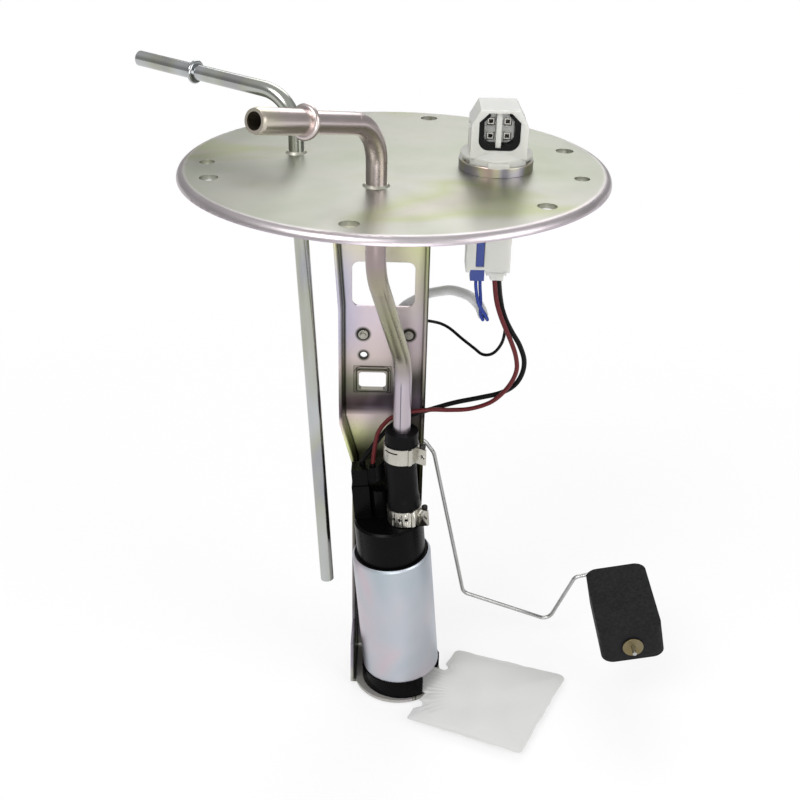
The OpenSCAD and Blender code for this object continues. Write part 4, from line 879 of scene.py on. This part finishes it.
class MODULE_OT_pump(Operator):
    """Finishes the pump, inside and out."""

    bl_idname = "module.pump"
    bl_label = "Pump"

    def execute(self, context):
        black = moulded_plastic("black moulding", "#050506", 0.28, cloudy="#0c0c0e",
                                cloud_amount=0.3, depth=0.003, gloss=0.07)
        alloy = finish_steel("die-cast alloy", "#8b8a86", 0.42)
        bronze = finish_steel("sintered bronze", "#9c8762", 0.45)
        copper = finish_steel("copper", "#b06e46", 0.34)
        bright = finish_steel("bright steel", "#c4c6c8", 0.22)
        dress("pump_can", finish_can(context.scene.module_colours.pump_can), edge=0.3)
        dress("pump_cap", black, edge=0.5)
        dress("pump_plug", black, edge=0.4)
        dress("cap_seal", finish_rubber("cap seal rubber", "#101011", 0.55))
        dress("brushes", moulded_plastic("carbon", "#353535", 0.5), edge=0.1)
        dress("upper_bearing", bronze, edge=0.1)
        dress("lower_bearing", bronze, edge=0.1)
        dress("field_magnets", moulded_plastic("ferrite", "#2d2d31", 0.45), edge=0.2)
        dress("outlet_plate", alloy, edge=0.15)
        dress("inlet_cover", alloy, edge=0.15)
        spring = dress("check_spring", bright)
        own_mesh(spring)
        dress("check_valve", moulded_plastic("valve moulding", "#8f8f94", 0.4), edge=0.1)
        dress("rotor_shaft", bright, edge=0.1)
        dress("armature", copper, edge=0.15)
        dress("commutator", copper, edge=0.08)
        dress("impeller", moulded_plastic("phenolic", "#6f6a5c", 0.5), edge=0.08)
        dress("rubber_cushion", finish_rubber("cushion rubber", "#050506", 0.25, gloss=0.05),
              edge=0.7)
        dress("strainer_collar", moulded_plastic("grey collar", "#7c7f7b", 0.35), edge=0.3)
        return {"FINISHED"}


class MODULE_OT_hose(Operator):
    """Finishes the pump's hose and its two clamps."""

    bl_idname = "module.hose"
    bl_label = "Hose and clamps"

    def execute(self, context):
        band = finish_steel("clamp band", "#c0bdb4", 0.3)
        dress("outlet_hose", finish_rubber("hose rubber", "#08080a", 0.42, gloss=0.08), edge=0.4)
        dress("upper_clamp", band, edge=0.12)
        dress("lower_clamp", band, edge=0.12)
        dress("clamp_pins", finish_steel("blackened pin", "#161617", 0.3), edge=0.3)
        return {"FINISHED"}


# Wires. The routes are in millimetres, from the plug under the flange to the far end.

BLACK_ROUTE = (
    (43, -4.4, -43.6), (44.2, -4.6, -52), (47.2, -4, -61.4), (50.7, -2, -68.7), (54.5, 0, -75.6),
    (57.2, 2, -83.6), (57, 4.2, -91.3), (54.2, 7, -98.6), (48.6, 10, -104), (40, 13.2, -108.2),
    (29.1, 17, -113), (18.9, 20, -118.2), (9.8, 20.4, -121.9), (0.7, 20.5, -127.4),
    (-5.7, 21, -135.9), (-9.8, 21, -142), (-12, 21, -145.5), (-12.9, 21, -148.5))
RED_ROUTE = (
    (41.6, -6.3, -43.6), (42.8, -6.8, -52), (44.9, -6.6, -59), (47.5, -5.2, -65.5),
    (50.4, -3.2, -72.4), (53, -1.2, -79.8), (54.2, 1, -87.4), (52.8, 3.6, -94.8),
    (49.4, 6.6, -102.2), (44.2, 9.6, -108.8), (35.8, 12.8, -113.8), (27, 15.5, -116.1),
    (18.8, 17.4, -117.2), (10, 17.4, -118.4), (1.4, 17.4, -121.3), (-2.9, 17.6, -125.4),
    (-5.6, 18, -130.4), (-6.8, 18.4, -136.5), (-7.5, 18.7, -142.6), (-7.9, 18.8, -148.1))
EARTH_ROUTE = (
    (43.9, -2.4, -43.6), (45, -1.4, -52), (47.2, 2, -62.4), (48.5, 6, -69.1), (48.4, 11, -78.5),
    (46.3, 14, -84.8), (43.6, 17, -88.5), (40.3, 20, -89.8), (36.9, 24, -88.8), (31.6, 28.6, -86.4),
    (26.1, 32.8, -83.4), (22.2, 34.6, -82), (18.7, 35.1, -81.3), (15.9, 35.1, -80.9))
SLEEVE_ROUTE = (
    (38.4, 0, -62.5), (36.8, 4, -59.7), (33.3, 9, -57.8), (29, 17.5, -59.2), (25, 24.5, -61.3),
    (20.9, 31, -64.6), (16.6, 36.5, -67.9), (13, 38.8, -70.4), (10.2, 39.8, -72.6),
    (5.5, 40.5, -76), (2.6, 40.5, -80), (1.4, 40.5, -86), (2.4, 40.5, -94), (4.4, 40.5, -101),
    (5.2, 40.5, -106.5))
SLEEVE_BORE, SLEEVE_WALL = 4.4, 0.4
BLUE_TOP = (
    (35, -4, -44.1), (35.2, -4.1, -48), (36.2, -4.2, -54.5), (37.6, -4.5, -59.4),
    (38.7, -4, -61.9), (39, -2.5, -62.9))
BLUE_TURN = (180, 180, 150, 60, 10, 0)  # degrees that the pair is turned there
BLUE_LOW = ((5.2, 40.4, -109), (5.2, 40.2, -112.5))
SENDER_X = 5.2  # middle of the sender's two terminals
BLUE_ENDS = ((2.0, 40.1, -115), (2.2, 39.9, -117))  # how far aside of it, y and z
BLUE_SIDE = Vector((0.88, 0.42, -0.22))  # from one wire of the pair toward the other
BLUE_APART = 0.96  # half the distance between their middles


def blue_route(side):
    """One of the sender's two wires, beside the middle line of their sleeve."""
    path = [Vector(p) for p in BLUE_TOP + SLEEVE_ROUTE + BLUE_LOW]
    route = []
    for i, point in enumerate(path):
        along = direction_at(path, i)
        apart = (BLUE_SIDE - along * BLUE_SIDE.dot(along)).normalized()
        if i < len(BLUE_TURN):
            apart = Matrix.Rotation(math.radians(BLUE_TURN[i]), 3, along) @ apart
        route.append(point + apart * side * BLUE_APART)
    return route + [Vector((SENDER_X + side * aside, y, z)) for aside, y, z in BLUE_ENDS]


class MODULE_OT_wires(Operator):
    """Runs the wires and their sleeve on the routes that their solids take."""

    bl_idname = "module.wires"
    bl_label = "Wires"

    def execute(self, context):
        steps = context.scene.module_sizes.wire_steps
        colours = context.scene.module_colours
        black = finish_insulation("black insulation", colours.black_wire, gloss=0.12)
        red = finish_insulation("red insulation", colours.red_wire)
        blue = finish_insulation("blue insulation", colours.blue_wire)
        for name, route, width, finish, slot in (
            ("black_wire", BLACK_ROUTE, 2.2, black, "wire_black"),
            ("red_wire", RED_ROUTE, 2.0, red, "wire_red"),
            ("earth_wire", EARTH_ROUTE, 1.4, black, "wire_black"),
            ("sender_wire_a", blue_route(1), 1.4, blue, "wire_blue"),
            ("sender_wire_b", blue_route(-1), 1.4, blue, "wire_blue"),
        ):
            line = smooth_line(route, steps)
            wire = swept_curve(name + "_cord", line, width / 2 * MM, finish, "module")
            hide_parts(name)
        self.sleeve(finish_sleeve(colours.sleeve), steps)
        return {"FINISHED"}

    def sleeve(self, finish, steps):
        """The sleeve is a thin pale tube around the sender's wires."""
        line = smooth_line(SLEEVE_ROUTE, steps)
        sleeve = new_piece(
            "wire_sleeve_tube",
            lambda shape: tube_mesh(shape, line, SLEEVE_BORE / 2 * MM, SLEEVE_WALL * MM),
            finish, "module")
        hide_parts("wire_sleeve")


# Strainer sock. Its outline is in its own plane, in millimetres, with x away from the pump.

SOCK_CORNERS = ((18, -29.35, 1.2), (76.7, -24.2, 2.6), (76.7, 38.2, 3.4), (18, 29.35, 3))
SOCK_CENTRE = (46.0, 2.0)
SOCK_NECK_X, SOCK_NECK_Y = (-8.5, 20), (-8.5, 11.5)
SOCK_NECK_END = (-1.5, 72)  # middle's y and squared radius of the neck's round end
SOCK_NOTCHES = ((18, 13.7, 2.2), (18, -17.6, 3))
SOCK_TURN, SOCK_PLACE = math.radians(-27), Vector((7.5, 14))
SOCK_POINTS, SOCK_RINGS = 400, 26
SOCK_REACH = 60.0  # farther out than the outline
SOCK_INSET = 0.35  # how far inside the outline the edge runs
SOCK_WAVES = ((0.16, 9, 0), (0.11, 17, 1), (0.07, 31, 2))  # height, count and start
SOCK_TOP, SOCK_BOTTOM, SOCK_SAG, SOCK_EDGE = 0.62, 0.32, 0.25, 0.47  # heights of the cloths
SOCK_WELD = 1.6  # width of the welded edge
SOCK_SWELL = 7.0  # how slowly the bag crowns away from the weld
SOCK_GROOVE, SOCK_GROOVE_DEPTH = (1.0, 1.7), 0.07


def rounded_corner(corners, which, steps=7):
    """Points of one rounded corner of a four-sided outline."""
    x, y, radius = corners[which]
    here = Vector((x, y))
    back, ahead = (Vector(corners[k % 4][:2]) for k in (which - 1, which + 1))
    one, two = (back - here).normalized(), (ahead - here).normalized()
    half = one.angle(two) / 2
    centre = here + (one + two).normalized() * radius / math.sin(half)
    first = here + one * radius / math.tan(half) - centre
    last = here + two * radius / math.tan(half) - centre
    return [centre + (first * (1 - k / steps) + last * (k / steps)).normalized() * radius
            for k in range(steps + 1)]


def inside_sock(point, outline):
    """Whether a point lies in the bag's outline or in its neck, and in no notch."""
    x, y = point
    if any((x - a) ** 2 + (y - b) ** 2 < r * r for a, b, r in SOCK_NOTCHES):
        return False
    if SOCK_NECK_X[0] < x < SOCK_NECK_X[1] and SOCK_NECK_Y[0] < y < SOCK_NECK_Y[1]:
        end_y, square = SOCK_NECK_END
        if x > 0 or x * x + (y - end_y) ** 2 < square:
            return True
    inside = False
    for one, two in zip(outline, outline[1:] + outline[:1]):
        if (one.y > y) != (two.y > y):
            if x < (two.x - one.x) * (y - one.y) / (two.y - one.y) + one.x:
                inside = not inside
    return inside


def sock_rim():
    """The bag's edge: the outline as seen from its centre, a little inside it and wavy."""
    outline = [p for k in range(4) for p in rounded_corner(SOCK_CORNERS, k)]
    centre = Vector(SOCK_CENTRE)
    rim = []
    for k in range(SOCK_POINTS):
        angle = 2 * math.pi * k / SOCK_POINTS
        ray = Vector((math.cos(angle), math.sin(angle)))
        far = SOCK_REACH
        while not inside_sock(centre + ray * far, outline):
            far -= 0.5
        near, far = far, far + 0.5
        for _ in range(12):
            middle = (near + far) / 2
            if inside_sock(centre + ray * middle, outline):
                near = middle
            else:
                far = middle
        wave = sum(high * math.sin(count * angle + start) for high, count, start in SOCK_WAVES)
        rim.append(centre + ray * (near - SOCK_INSET + wave))
    return rim


def sock_point(point, height):
    """A point of the bag's plane, turned and placed under the pump."""
    cos, sin = math.cos(SOCK_TURN), math.sin(SOCK_TURN)
    return mm(SOCK_PLACE.x + point.x * cos - point.y * sin,
              SOCK_PLACE.y + point.x * sin + point.y * cos, height)


def sock_height(side, point, gap, crown):
    """Height of the upper or lower cloth at a distance from the edge."""
    swell = 0.0 if gap < SOCK_WELD else 1 - math.exp(-(gap - SOCK_WELD) / SOCK_SWELL)
    if side == -1:
        return SOCK_BOTTOM - SOCK_SAG * swell
    groove = SOCK_GROOVE_DEPTH if SOCK_GROOVE[0] < gap < SOCK_GROOVE[1] else 0.0
    crease = (0.16 * math.sin(0.32 * point.x + 0.1 * point.y)
              + 0.12 * math.sin(0.21 * point.y - 0.17 * point.x + 1.3))
    return SOCK_TOP + swell * (crown + crease * 1.2) - groove


def sock_mesh(shape, low, crown):
    """A flat bag: two thin cloths welded all round, crowned in the middle."""
    rim, centre = sock_rim(), Vector(SOCK_CENTRE)
    sheets = {}
    for side in (1, -1):
        for ring in range(1, SOCK_RINGS + 1):
            share = 1 - (1 - ring / SOCK_RINGS) ** 1.35
            for k, edge in enumerate(rim):
                if ring == SOCK_RINGS and side == -1:
                    sheets[side, ring, k] = sheets[1, ring, k]
                    continue
                point = centre.lerp(edge, share)
                near = [rim[j % SOCK_POINTS] for j in range(k - 30, k + 31, 6)]
                gap = min((other - point).length for other in [edge] + near)
                height = sock_height(side, point, gap, crown) if ring < SOCK_RINGS else SOCK_EDGE
                sheets[side, ring, k] = shape.verts.new(sock_point(point, low + height))
        height = SOCK_TOP + crown if side == 1 else SOCK_BOTTOM - SOCK_SAG
        pole = shape.verts.new(sock_point(centre, low + height))
        for k in range(SOCK_POINTS):
            after = (k + 1) % SOCK_POINTS
            shape.faces.new((pole, sheets[side, 1, k], sheets[side, 1, after])[::side])
            for ring in range(1, SOCK_RINGS):
                shape.faces.new((sheets[side, ring, k], sheets[side, ring + 1, k],
                                 sheets[side, ring + 1, after], sheets[side, ring, after])[::side])


class MODULE_OT_strainer(Operator):
    """Makes the strainer sock: a flat bag of filter cloth with a welded edge."""

    bl_idname = "module.strainer"
    bl_label = "Strainer sock"

    def execute(self, context):
        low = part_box("strainer_sock")[0].z / MM
        crown = context.scene.module_sizes.sock_bulge / MM
        cloth = finish_filter_cloth(context.scene.module_colours.filter_cloth)
        sock = new_piece("sock_bag", lambda shape: sock_mesh(shape, low, crown), cloth,
                         "module", smooth_angle=60.0)
        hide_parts("strainer_sock")
        return {"FINISHED"}


# Sidebar and start


class MODULE_PT_panel(Panel):
    """Lists the makers of the module's looks, with their sizes and colours."""

    bl_label = "Fuel pump module"
    bl_space_type = "VIEW_3D"
    bl_region_type = "UI"
    bl_category = "Fuel pump module"

    def draw(self, context):
        for maker in MAKERS:
            self.layout.operator(maker.bl_idname)
        for group in (context.scene.module_sizes, context.scene.module_colours):
            for key in group.__annotations__:
                self.layout.prop(group, key)


MAKERS = (
    MODULE_OT_camera, MODULE_OT_stage, MODULE_OT_wires, MODULE_OT_flange, MODULE_OT_tubes,
    MODULE_OT_connector, MODULE_OT_hanger, MODULE_OT_sender, MODULE_OT_pump, MODULE_OT_hose,
    MODULE_OT_strainer,
)
CLASSES = (ModuleSizes, ModuleColours, *MAKERS, MODULE_PT_panel)


def register():
    for made in CLASSES:
        bpy.utils.register_class(made)
    bpy.types.Scene.module_sizes = PointerProperty(type=ModuleSizes)
    bpy.types.Scene.module_colours = PointerProperty(type=ModuleColours)


def unregister():
    del bpy.types.Scene.module_colours
    del bpy.types.Scene.module_sizes
    for made in reversed(CLASSES):
        bpy.utils.unregister_class(made)


def main():
    register()
    for maker in MAKERS:
        group, name = maker.bl_idname.split(".")
        getattr(getattr(bpy.ops, group), name)()


if __name__ == "__main__":
    main()
